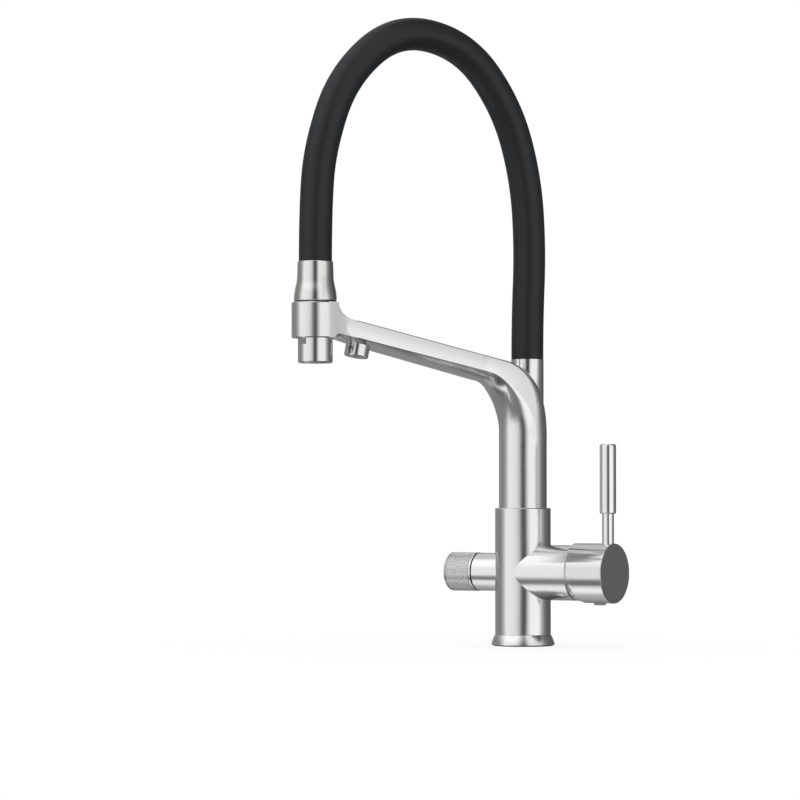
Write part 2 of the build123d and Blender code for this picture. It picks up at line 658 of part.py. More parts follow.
with BuildPart(along_spindle(-BALL_REACH)) as cartridge_spindle:
    Sphere(BALL_R)
    extrude(circles(along_spindle(-BALL_REACH), BALL_ARM_R, (0, 0)), amount=BALL_REACH)
    with BuildSketch(along_spindle(-SPINDLE_HALF - 0.6)):
        Rectangle(2 * SPINDLE_HALF, 2 * SPINDLE_HALF)
    extrude(amount=SPINDLE_LENGTH + SPINDLE_HALF + 0.6)
    extrude(circles(pin_plane, PIN_R + RUNNING, (0, 0)), amount=NECK_R, both=True, mode=Mode.SUBTRACT)
cartridge_spindle.part.label = "cartridge_spindle"
export_step(cartridge_spindle.part, "parts/cartridge_spindle.step")

with BuildPart() as handle_cap:
    with BuildSketch(BRANCH):
        with BuildLine():
            cap_back = pivot_x + CAP_REAR_TOP - 2
            end_r = math.sqrt(cavity_r**2 - CAVITY_DEPTH**2)
            mid_angle = math.radians(90) - math.asin(CAVITY_DEPTH / cavity_r) / 2
            mid = (pivot_x + cavity_r * math.cos(mid_angle), cavity_r * math.sin(mid_angle))
            Line((cap_back, cavity_r), (pivot_x, cavity_r))
            ThreePointArc((pivot_x, cavity_r), mid, (pivot_x + CAVITY_DEPTH, end_r))
            Polyline(
                (pivot_x + CAVITY_DEPTH, end_r),
                (pivot_x + CAVITY_HEART, CAVITY_HEART_R),
                (pivot_x + CAVITY_HEART, 0),
                (cap_end, 0),
                (cap_end, cap_r - CAP_EDGE),
            )
            RadiusArc((cap_end, cap_r - CAP_EDGE), (cap_end - CAP_EDGE, cap_r), -CAP_EDGE)
            Polyline((cap_end - CAP_EDGE, cap_r), (cap_back, cap_r), (cap_back, cavity_r))
        make_face()
    revolve(axis=BRANCH_AXIS)
    # slanted rear edge
    lean = (CAP_REAR_BOTTOM - CAP_REAR_TOP) / (2 * cap_r)
    high = pivot_x + CAP_REAR_TOP - lean
    low = pivot_x + CAP_REAR_BOTTOM + lean
    far_back = cap_back - cap_r
    over = cap_r + 1
    rear = polygon(BRANCH, (high, over), (far_back, over), (far_back, -over), (low, -over))
    extrude(rear, amount=2 * cap_r, both=True, mode=Mode.SUBTRACT)
    # seats for the spindle, the stem, the screw and the plug
    with BuildSketch(along_spindle(0)):
        Rectangle(2 * SPINDLE_HALF, 2 * SPINDLE_HALF)
    extrude(amount=SPINDLE_LENGTH, mode=Mode.SUBTRACT)
    stem_seat = upright(BRANCH_Z + STEM_SEAT)
    extrude(circles(stem_seat, STEM_R, (lever_x, 0)), amount=2 * cap_r, mode=Mode.SUBTRACT)
    grub_top = BRANCH_Z + (plug_x - pivot_x) * math.tan(ball_tilt) - SPINDLE_HALF / math.cos(ball_tilt)
    screw_way = circles(upright(BRANCH_Z - cap_r), GRUB_R, (plug_x, 0))
    extrude(screw_way, amount=grub_top + 0.4 - BRANCH_Z + cap_r, mode=Mode.SUBTRACT)
    plug_seat = circles(upright(BRANCH_Z - cap_r + PLUG_DEPTH), PLUG_R, (plug_x, 0))
    extrude(plug_seat, amount=-2 * PLUG_DEPTH, mode=Mode.SUBTRACT)
handle_cap.part.label = "handle_cap"
export_step(handle_cap.part, "parts/handle_cap.step")

with BuildPart() as handle_grub_screw:
    low_z = grub_top - 0.6 - GRUB_L
    extrude(circles(upright(low_z), GRUB_R, (plug_x, 0)), amount=GRUB_L)
    with BuildSketch(upright(low_z, (plug_x, 0))):
        RegularPolygon(GRUB_R * 0.5, 6)
    extrude(amount=HEX_DEPTH, mode=Mode.SUBTRACT)
handle_grub_screw.part.label = "handle_grub_screw"
export_step(handle_grub_screw.part, "parts/handle_grub_screw.step")

with BuildPart() as handle_plug:
    plug_low = BRANCH_Z - cap_r - PLUG_PROUD
    plug_l = PLUG_DEPTH + PLUG_PROUD
    extrude(circles(upright(plug_low), PLUG_R, (plug_x, 0)), amount=plug_l)
    extrude(circles(upright(plug_low + plug_l), GRUB_R, (plug_x, 0)), amount=PLUG_STUB_L)
    chamfer(handle_plug.edges().group_by(Axis.Z)[0], 0.5)
handle_plug.part.label = "handle_plug"
export_step(handle_plug.part, "parts/handle_plug.step")

with BuildPart() as lever_stem:
    extrude(circles(upright(BRANCH_Z + STEM_SEAT), STEM_R, (lever_x, 0)), amount=GRIP_START - STEM_SEAT)
    extrude(circles(upright(BRANCH_Z + GRIP_START), GRIP_PIN_R, (lever_x, 0)), amount=GRIP_PIN_L)
lever_stem.part.label = "lever_stem"
export_step(lever_stem.part, "parts/lever_stem.step")

with BuildPart() as lever_grip:
    grip_plane = upright(BRANCH_Z + GRIP_START)
    extrude(circles(grip_plane, GRIP_R, (lever_x, 0)), amount=GRIP_END - GRIP_START)
    fillet(lever_grip.edges().group_by(Axis.Z)[-1], GRIP_EDGE)
    fillet(lever_grip.edges().group_by(Axis.Z)[0], GRIP_LOW_EDGE)
    extrude(circles(grip_plane, GRIP_PIN_R, (lever_x, 0)), amount=GRIP_PIN_L, mode=Mode.SUBTRACT)
lever_grip.part.label = "lever_grip"
export_step(lever_grip.part, "parts/lever_grip.step")

# Filter valve
with BuildPart() as filter_valve_body:
    extrude(circles(across_knob(VALVE_SEAT), VALVE_R, (0, 0)), amount=STUB_END - VALVE_SEAT)
    extrude(circles(across_knob(STUB_END), VALVE_HEAD_R, (0, 0)), amount=VALVE_HEAD_T)
    extrude(circles(across_knob(valve_head_end), VALVE_NECK_R, (0, 0)), amount=VALVE_NECK_L)
    extrude(circles(across_knob(VALVE_SEAT), CHAMBER_R, (0, 0)), amount=CHAMBER_L, mode=Mode.SUBTRACT)
    shaft_bore = circles(across_knob(0), KNOB_SHAFT_R + RUNNING, (0, 0))
    extrude(shaft_bore, amount=valve_neck_end, mode=Mode.SUBTRACT)
filter_valve_body.part.label = "filter_valve_body"
export_step(filter_valve_body.part, "parts/filter_valve_body.step")

filter_ports = ((0, FILTER_PORT), (0, -FILTER_PORT))
with BuildPart() as filter_seal:
    extrude(circles(across_knob(VALVE_SEAT), CHAMBER_R, (0, 0)), amount=FILTER_SEAL_T)
    seal_ports = circles(across_knob(VALVE_SEAT), FILTER_PORT_R, *filter_ports)
    extrude(seal_ports, amount=FILTER_SEAL_T, mode=Mode.SUBTRACT)
filter_seal.part.label = "filter_seal"
export_step(filter_seal.part, "parts/filter_seal.step")

with BuildPart() as filter_fixed_disc:
    extrude(circles(across_knob(filter_disc_w), CHAMBER_R, (0, 0)), amount=FILTER_DISC_T)
    extrude(
        circles(across_knob(filter_disc_w), FILTER_PORT_R, *filter_ports),
        amount=FILTER_DISC_T,
        mode=Mode.SUBTRACT,
    )
filter_fixed_disc.part.label = "filter_fixed_disc"
export_step(filter_fixed_disc.part, "parts/filter_fixed_disc.step")

with BuildPart() as filter_moving_disc:
    extrude(circles(across_knob(moving_filter_w), CHAMBER_R - GAP, (0, 0)), amount=FILTER_DISC_T)
    with BuildSketch(across_knob(moving_filter_w)):
        Rectangle(2 * (FILTER_PORT + FILTER_PORT_R - 0.6), 2 * (FILTER_PORT - FILTER_PORT_R - 0.2))
    extrude(amount=FILTER_DISC_T / 2, mode=Mode.SUBTRACT)
filter_moving_disc.part.label = "filter_moving_disc"
export_step(filter_moving_disc.part, "parts/filter_moving_disc.step")

with BuildPart() as filter_spindle:
    extrude(circles(across_knob(driver_w), CHAMBER_R - GAP, (0, 0)), amount=DRIVER_T)
    extrude(circles(across_knob(driver_w), KNOB_SHAFT_R, (0, 0)), amount=shaft_end - driver_w)
filter_spindle.part.label = "filter_spindle"
export_step(filter_spindle.part, "parts/filter_spindle.step")

with BuildPart() as knob_washer:
    extrude(washer(across_knob(STUB_END), STUB_R - WASHER_INSET, VALVE_HEAD_R), amount=WASHER_T)
knob_washer.part.label = "knob_washer"
export_step(knob_washer.part, "parts/knob_washer.step")

with BuildPart() as filter_knob:
    knob_face = across_knob(knob_start)
    extrude(circles(knob_face, KNOB_R, (0, 0)), amount=KNOB_L)
    fillet(filter_knob.edges().group_by(Axis.X)[0], KNOB_EDGE)
    chamfer(filter_knob.edges().group_by(Axis.X)[-1], 0.3)
    extrude(
        washer(across_knob(knob_start + KNOB_RIM), KNOB_R + 1, KNOB_R - KNURL_DEPTH),
        amount=KNOB_L - KNOB_RIM - KNOB_EDGE - 0.4,
        mode=Mode.SUBTRACT,
    )
    extrude(circles(knob_face, KNOB_R - KNOB_WALL, (0, 0)), amount=KNOB_CAVITY_L, mode=Mode.SUBTRACT)
    extrude(circles(knob_face, KNOB_SHAFT_R, (0, 0)), amount=shaft_end - knob_start, mode=Mode.SUBTRACT)
    screw_hole = circles(upright(BRANCH_Z - KNOB_SHAFT_R), GRUB_R, (-knob_screw_w, 0))
    extrude(screw_hole, amount=-KNOB_R, mode=Mode.SUBTRACT)
filter_knob.part.label = "filter_knob"
export_step(filter_knob.part, "parts/filter_knob.step")

with BuildPart() as knob_grub_screw:
    screw_top = BRANCH_Z - KNOB_SHAFT_R
    extrude(circles(upright(screw_top), GRUB_R, (-knob_screw_w, 0)), amount=-GRUB_L)
    with BuildSketch(upright(screw_top - GRUB_L, (-knob_screw_w, 0))):
        RegularPolygon(GRUB_R * 0.5, 6)
    extrude(amount=HEX_DEPTH, mode=Mode.SUBTRACT)
knob_grub_screw.part.label = "knob_grub_screw"
export_step(knob_grub_screw.part, "parts/knob_grub_screw.step")

# Spout. The bend runs between an outer and an inner arc, both tangent to the riser and to the arm.
bend_turn = math.pi / 2 - rise


def arc_foot(side, radius):
    """Height at which an arc starts that leads from the riser's side to the arm's face."""
    s = -side * riser_r + radius
    return arm_mid(s) + (side * BEND_T / 2 - radius) / math.cos(rise)


def along_side(side, radius, foot, distance):
    """A point on the bend's outer (side 1) or inner (side -1) line, from the bend's foot upward."""
    straight = foot - bend_foot
    centre_s = radius - side * riser_r
    if distance < straight:
        return on_arm(-side * riser_r, bend_foot + distance)
    angle = min((distance - straight) / radius, bend_turn)
    point = on_arm(centre_s - radius * math.cos(angle), foot + radius * math.sin(angle))
    return point + arm_along * (distance - straight - radius * angle)


bend_foot = arc_foot(1, BEND_OUTER_R)
riser_bore_top = bend_foot - RISER_BORE_DROP
post_foot = bend_foot + POST_LIFT
post_top = ARM_END_Z - POST_DROP
inner_foot = arc_foot(-1, BEND_INNER_R)
outer_length = BEND_OUTER_R * bend_turn
inner_length = inner_foot - bend_foot + BEND_INNER_R * bend_turn
outer_end = along_side(1, BEND_OUTER_R, bend_foot, outer_length)
inner_end = along_side(-1, BEND_INNER_R, inner_foot, inner_length)
ahead = (inner_end - outer_end).dot(arm_along)
outer_length += max(ahead, 0)
inner_length += max(-ahead, 0)


def bend_section(share):
    """Plane and form of the bend at a share of its length, round at the foot and sharper at the arm."""
    outer = along_side(1, BEND_OUTER_R, bend_foot, outer_length * share)
    inner = along_side(-1, BEND_INNER_R, inner_foot, inner_length * share)
    height = (outer - inner).length
    up = (outer - inner).normalized()
    plane = Plane(origin=(outer + inner) * 0.5, x_dir=arm_side * -1, z_dir=up.cross(arm_side))
    width = 2 * riser_r + (ARM_W - 2 * riser_r) * share
    blend = share**2 * (3 - 2 * share)
    edge = (height / 2 - EDGE_FLAT) * (1 - blend) + ARM_EDGE * blend
    return plane, width, height, edge, blend, BEND_BELLY * blend


def oblong(plane, width, height, edge, crown, belly):
    """A rounded oblong with a bulging belly and a share of the arm's crown on its other sides."""
    if crown == 0:
        with BuildSketch(plane) as plain:
            RectangleRounded(width, height, edge)
        return plain.sketch
    x = width / 2
    y = height / 2
    side = x + SIDE_CROWN * crown
    with BuildSketch(plane) as drawing:
        with BuildLine():
            ThreePointArc((-x, y), (0, y + TOP_CROWN * crown), (x, y))
            ThreePointArc((x, y), (side, 0), (x, -y))
            ThreePointArc((x, -y), (0, -y - belly), (-x, -y))
            ThreePointArc((-x, -y), (-side, 0), (-x, y))
        make_face()
        fillet(drawing.vertices(), edge)
    return drawing.sketch


bend_parts = [bend_section(step / BEND_SECTIONS) for step in range(BEND_SECTIONS + 1)]
foot_plane, *foot_form = bend_parts[0]
end_plane, *end_form = bend_parts[-1]
bend_parts.insert(0, (foot_plane.offset(-BEND_LEAD), *foot_form))
bend_parts.append((end_plane.offset(BEND_LEAD), *end_form))

arm_start = end_plane.offset(BEND_LEAD)
arm_end_s = REACH - RING_WALL_LAP
outlet_part = arm_start.offset((on_arm(outlet_s, arm_mid(outlet_s)) - arm_start.origin).dot(arm_along))
arm_tip_l = (arm_end_s - outlet_s) / math.cos(rise)
outlet_form = (ARM_W, ARM_T, ARM_EDGE, 1, OUTLET_BELLY)
arm_end_form = (ARM_W, ARM_T, ARM_EDGE, 1, RING_BELLY)


def arm_belly(s):
    """Bulge of the arm's lower face between the outlet and the ring."""
    behind = (arm_end_s - s) / math.cos(rise) + ARM_T / 2 * math.tan(rise)
    return RING_BELLY + (OUTLET_BELLY - RING_BELLY) * behind / arm_tip_l


def flare_reach(angle, longest):
    """How far the flare reaches at an angle from the arm, fading out where the arm's edge comes near."""
    sine = abs(math.sin(angle))
    room = (ARM_W / 2 - ARM_EDGE) - RING_R * sine
    return (longest**-FLARE_FADE + (sine / room) ** FLARE_FADE) ** (-1 / FLARE_FADE)


def arm_face(way, distance, angle):
    """Height of the arm's upper or lower face at a distance from the ring's axis."""
    aside = distance * math.sin(angle) / (ARM_W / 2)
    s = REACH - distance * math.cos(angle)
    bulge = TOP_CROWN if way == 1 else arm_belly(s)
    return arm_mid(s) + way * (ARM_T / 2 + bulge * (1 - aside**2)) / math.cos(rise)


def flare(way, longest):
    """A hollow curve between the ring and the arm's upper (way 1) or lower (way -1) face."""
    sections = []
    for step in range(FLARE_STEPS + 1):
        angle = math.radians(FLARE_END * (2 * step / FLARE_STEPS - 1))
        outward = arm_side * math.sin(angle) - arm_out * math.cos(angle)
        radial = Plane(origin=HEAD.origin, x_dir=outward, z_dir=outward.cross(Vector(0, 0, 1)))
        near = RING_R - FLARE_WELD
        reach = flare_reach(angle, longest)
        corner = (near, arm_face(way, near, angle) - way * FLARE_WELD)
        on_ring = (near, corner[1] + way * reach)
        on_face = (near + reach, arm_face(way, near + reach, angle) - way * FLARE_WELD)
        with BuildSketch(radial) as section:
            with BuildLine():
                Bezier(on_ring, corner, on_face)
                Polyline(on_face, (on_face[0], on_face[1] - way), (near - 1, corner[1] - way))
                Polyline((near - 1, corner[1] - way), (near - 1, on_ring[1]), on_ring)
            make_face()
        sections.append(section.sketch)
    with BuildPart() as curve:
        loft(sections)
        ring_span = circles(upright(ring_bottom), 2 * RING_R + longest, ring_at)
        extrude(ring_span, amount=RING_H, mode=Mode.INTERSECT)
    return curve.part


def arm_corner(way, behind):
    """A point behind the ring's axis on the line of the arm's upper (way 1) or lower (way -1) corners."""
    s = REACH - behind
    return s, arm_mid(s) + way * (ARM_T / 2 / math.cos(rise) - NECK_WELD)


def neck():
    """Upright walls that lead from the ring's sides into the arm's, with a hollow above and below."""
    leave = math.radians(NECK_LEAVE)
    start = Vector(math.sin(leave), math.cos(leave)) * (RING_R - NECK_WELD)
    heading = Vector(math.cos(leave), -math.sin(leave))
    side = ARM_W / 2 - NECK_WELD
    end = NECK_L + NECK_LAP
    behind_ring = Plane(origin=HEAD.origin + Vector(0, 0, ring_bottom), x_dir=arm_out * -1, z_dir=(0, 0, 1))
    with BuildPart() as walls:
        with BuildSketch(behind_ring):
            with BuildLine():
                Bezier(start, start + heading * NECK_BULGE, (NECK_L - NECK_SLACK, side), (NECK_L, side))
                Polyline((NECK_L, side), (end, side), (end, 0), (0, 0), start)
            make_face()
            mirror(about=Plane.XZ)
        extrude(amount=RING_H)
        with BuildSketch(ARM):
            with BuildLine():
                top_start = (REACH - NECK_TOP, ring_top)
                low_start = (REACH - NECK_LOW, ring_bottom)
                Bezier(top_start, arm_corner(1, NECK_TOP_CORNER), arm_corner(1, NECK_TOP_END))
                Polyline(arm_corner(1, NECK_TOP_END), arm_corner(1, end), arm_corner(-1, end))
                Line(arm_corner(-1, end), arm_corner(-1, NECK_LOW_END))
                Bezier(arm_corner(-1, NECK_LOW_END), arm_corner(-1, NECK_LOW_CORNER), low_start)
                Polyline(low_start, (REACH, ring_bottom), (REACH, ring_top), top_start)
            make_face()
        extrude(amount=RING_R, both=True, mode=Mode.INTERSECT)
    return walls.part


# Place of the filter outlet
outlet_top = on_arm(outlet_s, arm_mid(outlet_s) - (ARM_T / 2 + OUTLET_SEAT) / math.cos(rise))


def under_arm(distance):
    """The plane of the arm's underside at the outlet, moved away from the arm by a distance."""
    return Plane(origin=outlet_top - arm_up * distance, x_dir=arm_side, z_dir=arm_up * -1)


# Route of the filtered water through the spout, in the arm's upright plane
tube_end_s = outlet_s - (OUTLET_CHAMBER_R + 1) * math.cos(rise)
tube_upper = ((TUBE_S, riser_bore_top - 6), (TUBE_S, arm_mid(TUBE_S)), (tube_end_s, arm_mid(tube_end_s)))
tube_lower = ((0, tube_foot), (0, socket_floor + TUBE_RUN), (TUBE_S, socket_floor + TUBE_RUN + TUBE_SHIFT))

with BuildPart() as spout:
    extrude(circles(upright(spigot_start), spigot_out_r, (0, 0)), amount=riser_start - spigot_start)
    extrude(circles(upright(riser_start), collar_r, (0, 0)), amount=COLLAR_H)
    riser_top = foot_plane.offset(-BEND_LEAD)
    riser_height = bend_foot - BEND_LEAD - riser_start - COLLAR_H
    extrude(oblong(riser_top, *foot_form), amount=-riser_height)
    loft([oblong(*part) for part in bend_parts])
    loft([oblong(arm_start, *end_form), oblong(outlet_part, *outlet_form)])
    loft([oblong(outlet_part, *outlet_form), oblong(outlet_part.offset(arm_tip_l), *arm_end_form)])
    post_at = (POST.origin.X, POST.origin.Y)
    extrude(circles(upright(post_foot, post_at), POST_R, (0, 0)), amount=post_top - post_foot)
    ring_wide = RING_R - RING_EDGE
    revolve(
        polygon(
            HEAD,
            (0, ring_bottom),
            (ring_wide, ring_bottom),
            (RING_R, ring_bottom + RING_EDGE),
            (RING_R, ring_top - RING_EDGE),
            (ring_wide, ring_top),
            (0, ring_top),
        ),
        axis=HEAD_AXIS,
    )
    add(flare(1, TOP_FLARE))
    add(flare(-1, UNDER_FLARE))
    add(neck())
    # bores of the riser, the post, the ring and the outlet
    riser_bore_h = riser_bore_top - spigot_start
    extrude(circles(upright(spigot_start), RISER_BORE_R, (0, 0)), amount=riser_bore_h, mode=Mode.SUBTRACT)
    post_low = riser_bore_top - 4
    post_bore = circles(upright(post_low, post_at), POST_BORE_R, (0, 0))
    extrude(post_bore, amount=post_top - post_low, mode=Mode.SUBTRACT)
    extrude(circles(upright(ring_bottom - 5, ring_at), bush_r, (0, 0)), amount=ring_top, mode=Mode.SUBTRACT)
    extrude(circles(under_arm(0), OUTLET_R, (0, 0)), amount=BEND_BELLY, mode=Mode.SUBTRACT)
    extrude(circles(under_arm(0), OUTLET_NECK_R, (0, 0)), amount=-OUTLET_NECK_L, mode=Mode.SUBTRACT)
    extrude(circles(under_arm(0), OUTLET_CHAMBER_R, (0, 0)), amount=-OUTLET_CHAMBER_L, mode=Mode.SUBTRACT)
    with BuildLine(ARM) as tube_way:
        FilletPolyline(*tube_upper, radius=TUBE_BEND_R)
    sweep(
        circles(Plane(origin=tube_way.line @ 0, z_dir=tube_way.line % 0), TUBE_R + TUBE_AIR, (0, 0)),
        path=tube_way.line,
        mode=Mode.SUBTRACT,
    )
    # grooves in the spigot
    for z in (lower_oring_z, upper_oring_z):
        groove = washer(upright(z), riser_r, spigot_out_r - ORING_DEPTH)
        extrude(groove, amount=ORING_H, mode=Mode.SUBTRACT)
    for z in (lower_slip_z, upper_slip_z):
        groove = washer(upright(z), riser_r, spigot_out_r - SLIP_DEPTH)
        extrude(groove, amount=SLIP_H, mode=Mode.SUBTRACT)
    # the groove for the lock screw leaves a stop behind, so the spout can't go all the way round
    screw_angle = math.degrees(math.asin(LOCK_SCREW_R / (spigot_out_r - STOP_DEPTH))) + 1.5
    first_angle = 90 - (SPOUT_SWING + SPOUT_TURN) - screw_angle
    stop_low = stop_z - STOP_H / 2
    stop_profile = band(Plane.XZ, spigot_out_r - STOP_DEPTH, riser_r, stop_low, stop_low + STOP_H)
    revolve(
        stop_profile.rotate(Axis.Z, first_angle),
        axis=Axis.Z,
        revolution_arc=2 * (SPOUT_SWING + screw_angle),
        mode=Mode.SUBTRACT,
    )
spout.part.label = "spout"
export_step(spout.part, "parts/spout.step")

# Pieces that turn with the spout
with BuildPart() as spout_orings:
    for z in (lower_oring_z, upper_oring_z):
        ring = washer(upright(z + 0.1), SOCKET_R - 0.03, spigot_out_r - ORING_DEPTH)
        extrude(ring, amount=ORING_H - 0.2)
    fillet(spout_orings.edges().filter_by(GeomType.CIRCLE).group_by(SortBy.RADIUS)[-1], 0.7)
spout_orings.part.label = "spout_orings"
export_step(spout_orings.part, "parts/spout_orings.step")

with BuildPart() as spout_slip_rings:
    for z in (lower_slip_z, upper_slip_z):
        extrude(washer(upright(z), SOCKET_R - 0.03, spigot_out_r - SLIP_DEPTH), amount=SLIP_H)
spout_slip_rings.part.label = "spout_slip_rings"
export_step(spout_slip_rings.part, "parts/spout_slip_rings.step")

with BuildPart() as spout_washer:
    extrude(washer(upright(riser_start - THRUST_T), riser_r, spigot_out_r), amount=THRUST_T)
spout_washer.part.label = "spout_washer"
export_step(spout_washer.part, "parts/spout_washer.step")

with BuildPart() as filter_tube:
    with BuildLine(ARM) as tube_line:
        FilletPolyline(*tube_lower, *tube_upper[1:], radius=TUBE_BEND_R)
    tube_path = tube_line.wires()[0]
    foot = Plane(origin=tube_path @ 0, z_dir=tube_path % 0)
    sweep(washer(foot, TUBE_R, TUBE_BORE_R), path=tube_path)
filter_tube.part.label = "filter_tube"
export_step(filter_tube.part, "parts/filter_tube.step")
tube_section = math.pi * (TUBE_R**2 - TUBE_BORE_R**2)
tube_volume = round(tube_section * tube_path.length)
print("filter tube", round(filter_tube.part.volume), "section x length", tube_volume)

with BuildPart() as hose_tail:
    tail_low = post_top - POST_THREAD_L
    extrude(circles(upright(tail_low, post_at), POST_BORE_R, (0, 0)), amount=POST_THREAD_L)
    extrude(circles(upright(post_top, post_at), water_hose_r, (0, 0)), amount=TAIL_FLANGE_T)
    extrude(circles(upright(post_top, post_at), tail_r, (0, 0)), amount=TAIL_FLANGE_T + TAIL_L)
    tail_h = POST_THREAD_L + TAIL_FLANGE_T + TAIL_L
    extrude(circles(upright(tail_low, post_at), FITTING_BORE_R, (0, 0)), amount=tail_h, mode=Mode.SUBTRACT)
hose_tail.part.label = "hose_tail"
export_step(hose_tail.part, "parts/hose_tail.step")

with BuildPart() as dock_bush:
    bush_low = ring_bottom + BUSH_LIFT
    extrude(circles(upright(bush_low, ring_at), bush_r, (0, 0)), amount=ring_top - bush_low)
    extrude(circles(upright(ring_top, ring_at), bush_r + BUSH_FLANGE, (0, 0)), amount=BUSH_FLANGE)
    extrude(circles(upright(bush_low, ring_at), bush_bore_r, (0, 0)), amount=ring_top, mode=Mode.SUBTRACT)
    bush_top = dock_bush.edges().filter_by(GeomType.CIRCLE).group_by(Axis.Z)[-1]
    chamfer(bush_top.sort_by(SortBy.RADIUS)[0], 0.4)
dock_bush.part.label = "dock_bush"
export_step(dock_bush.part, "parts/dock_bush.step")

with BuildPart() as filter_outlet:
    extrude(circles(under_arm(0), OUTLET_R, (0, 0)), amount=OUTLET_LENGTH)
    chamfer(filter_outlet.edges().sort_by(Axis.Z)[0], 0.5)
    extrude(circles(under_arm(0), OUTLET_NECK_R, (0, 0)), amount=-OUTLET_NECK_L)
    outlet_low = under_arm(OUTLET_LENGTH)
    outlet_bore_r = OUTLET_R - OUTLET_WALL
    outlet_bore = circles(outlet_low, outlet_bore_r, (0, 0))
    extrude(outlet_bore, amount=-AERATOR_INSET - AERATOR_T, mode=Mode.SUBTRACT)
    chamber = circles(outlet_low, OUTLET_CHAMBER_R, (0, 0))
    extrude(chamber, amount=-OUTLET_LENGTH - OUTLET_NECK_L, mode=Mode.SUBTRACT)
filter_outlet.part.label = "filter_outlet"
export_step(filter_outlet.part, "parts/filter_outlet.step")

with BuildPart() as filter_aerator:
    aerator_face = under_arm(OUTLET_LENGTH - AERATOR_INSET)
    extrude(circles(aerator_face, outlet_bore_r, (0, 0)), amount=-AERATOR_T)
    extrude(honeycomb(aerator_face, outlet_bore_r - 1.2), amount=-AERATOR_T, mode=Mode.SUBTRACT)
filter_aerator.part.label = "filter_aerator"
export_step(filter_aerator.part, "parts/filter_aerator.step")

# Hose from the post over to the head: a thick soft sleeve with the water hose inside.
# Middle line in the arm's upright plane, distance from the riser's axis and height.
HOSE_BENDS = (
    (POST_S, post_top + 30.7),
    (-7.3, post_top + 88.7),
    (-2.9, post_top + 145.7),
    (15.5, post_top + 201.2),
    (56.5, post_top + 247.7),
    (REACH - 75.2, post_top + 257.2),
    (REACH - 25.7, post_top + 216.7),
    (REACH - 4.6, post_top + 161.2),
    (REACH, post_top + 114.7),
)


def bend_radii(points):
    """Radii that let each arc take 0.45 of the shorter run beside it."""
    radii = []
    for before, corner, after in zip(points, points[1:], points[2:]):
        leg_in = Vector(*corner) - Vector(*before)
        leg_out = Vector(*after) - Vector(*corner)
        half_turn = math.radians(leg_in.get_angle(leg_out)) / 2
        radii.append(0.45 * min(leg_in.length, leg_out.length) / math.tan(half_turn))
    return radii


def hose_line(foot_z):
    """Middle line of a hose that starts at a height above the post."""
    points = ((POST_S, foot_z), *HOSE_BENDS, (REACH, hose_head_z))
    with BuildLine(ARM) as line:
        FilletPolyline(*points, radius=bend_radii(points))
    return line.wires()[0]


with BuildPart() as silicone_hose:
    sleeve_line = hose_line(post_top)
    sleeve_foot = Plane(origin=sleeve_line @ 0, z_dir=sleeve_line % 0)
    sweep(washer(sleeve_foot, HOSE_R, hose_bore_r), path=sleeve_line)
silicone_hose.part.label = "silicone_hose"
export_step(silicone_hose.part, "parts/silicone_hose.step")

with BuildPart() as water_hose:
    water_line = hose_line(post_top + TAIL_FLANGE_T)
    water_foot = Plane(origin=water_line @ 0, z_dir=water_line % 0)
    sweep(washer(water_foot, water_hose_r, tail_r), path=water_line)
water_hose.part.label = "water_hose"
export_step(water_hose.part, "parts/water_hose.step")

whole_route = ((POST_S, post_top), *HOSE_BENDS, (REACH, hose_head_z))
print("bend radii", [round(radius) for radius in bend_radii(whole_route)])
for name, hose, line, outer, inner in (
    ("sleeve", silicone_hose, sleeve_line, HOSE_R, hose_bore_r),
    ("water hose", water_hose, water_line, water_hose_r, tail_r),
):
    section = math.pi * (outer**2 - inner**2)
    volumes = (round(hose.part.volume), round(section * line.length))
    print(name, "length", round(line.length, 1), "volume", *volumes)

# Fitting that carries the hose's end and on which the head swivels
with BuildPart() as hose_fitting:
    stub_low = nozzle_top - SWIVEL_FOOT
    collar_z = nozzle_top + LAPPED
    flange_z = hose_head_z - SWIVEL_FLANGE_T
    extrude(circles(upright(stub_low, ring_at), SWIVEL_R, (0, 0)), amount=flange_z - stub_low)
    extrude(circles(upright(collar_z, ring_at), SWIVEL_COLLAR_R, (0, 0)), amount=SWIVEL_COLLAR_T)
    extrude(circles(upright(flange_z, ring_at), BELL_CAVITY_R - GAP, (0, 0)), amount=SWIVEL_FLANGE_T)
    extrude(circles(upright(hose_head_z, ring_at), tail_r, (0, 0)), amount=TAIL_L)
    clip_z = nozzle_top - NOZZLE_PLATE_T - LAPPED - CLIP_T
    extrude(washer(upright(clip_z, ring_at), SWIVEL_R, SWIVEL_R - 0.8), amount=CLIP_T, mode=Mode.SUBTRACT)
    fitting_h = hose_head_z + TAIL_L - stub_low
    fitting_bore = circles(upright(stub_low, ring_at), FITTING_BORE_R, (0, 0))
    extrude(fitting_bore, amount=fitting_h, mode=Mode.SUBTRACT)
hose_fitting.part.label = "hose_fitting"
export_step(hose_fitting.part, "parts/hose_fitting.step")

with BuildPart() as fitting_clip:
    extrude(washer(upright(clip_z, ring_at), CLIP_R, SWIVEL_R - 0.8), amount=CLIP_T)
    with BuildSketch(upright(clip_z, ring_at)):
        with Locations((CLIP_R, 0)):
            Rectangle(2 * CLIP_R, 2 * SWIVEL_R - 4)
    extrude(amount=CLIP_T, mode=Mode.SUBTRACT)
fitting_clip.part.label = "fitting_clip"
export_step(fitting_clip.part, "parts/fitting_clip.step")

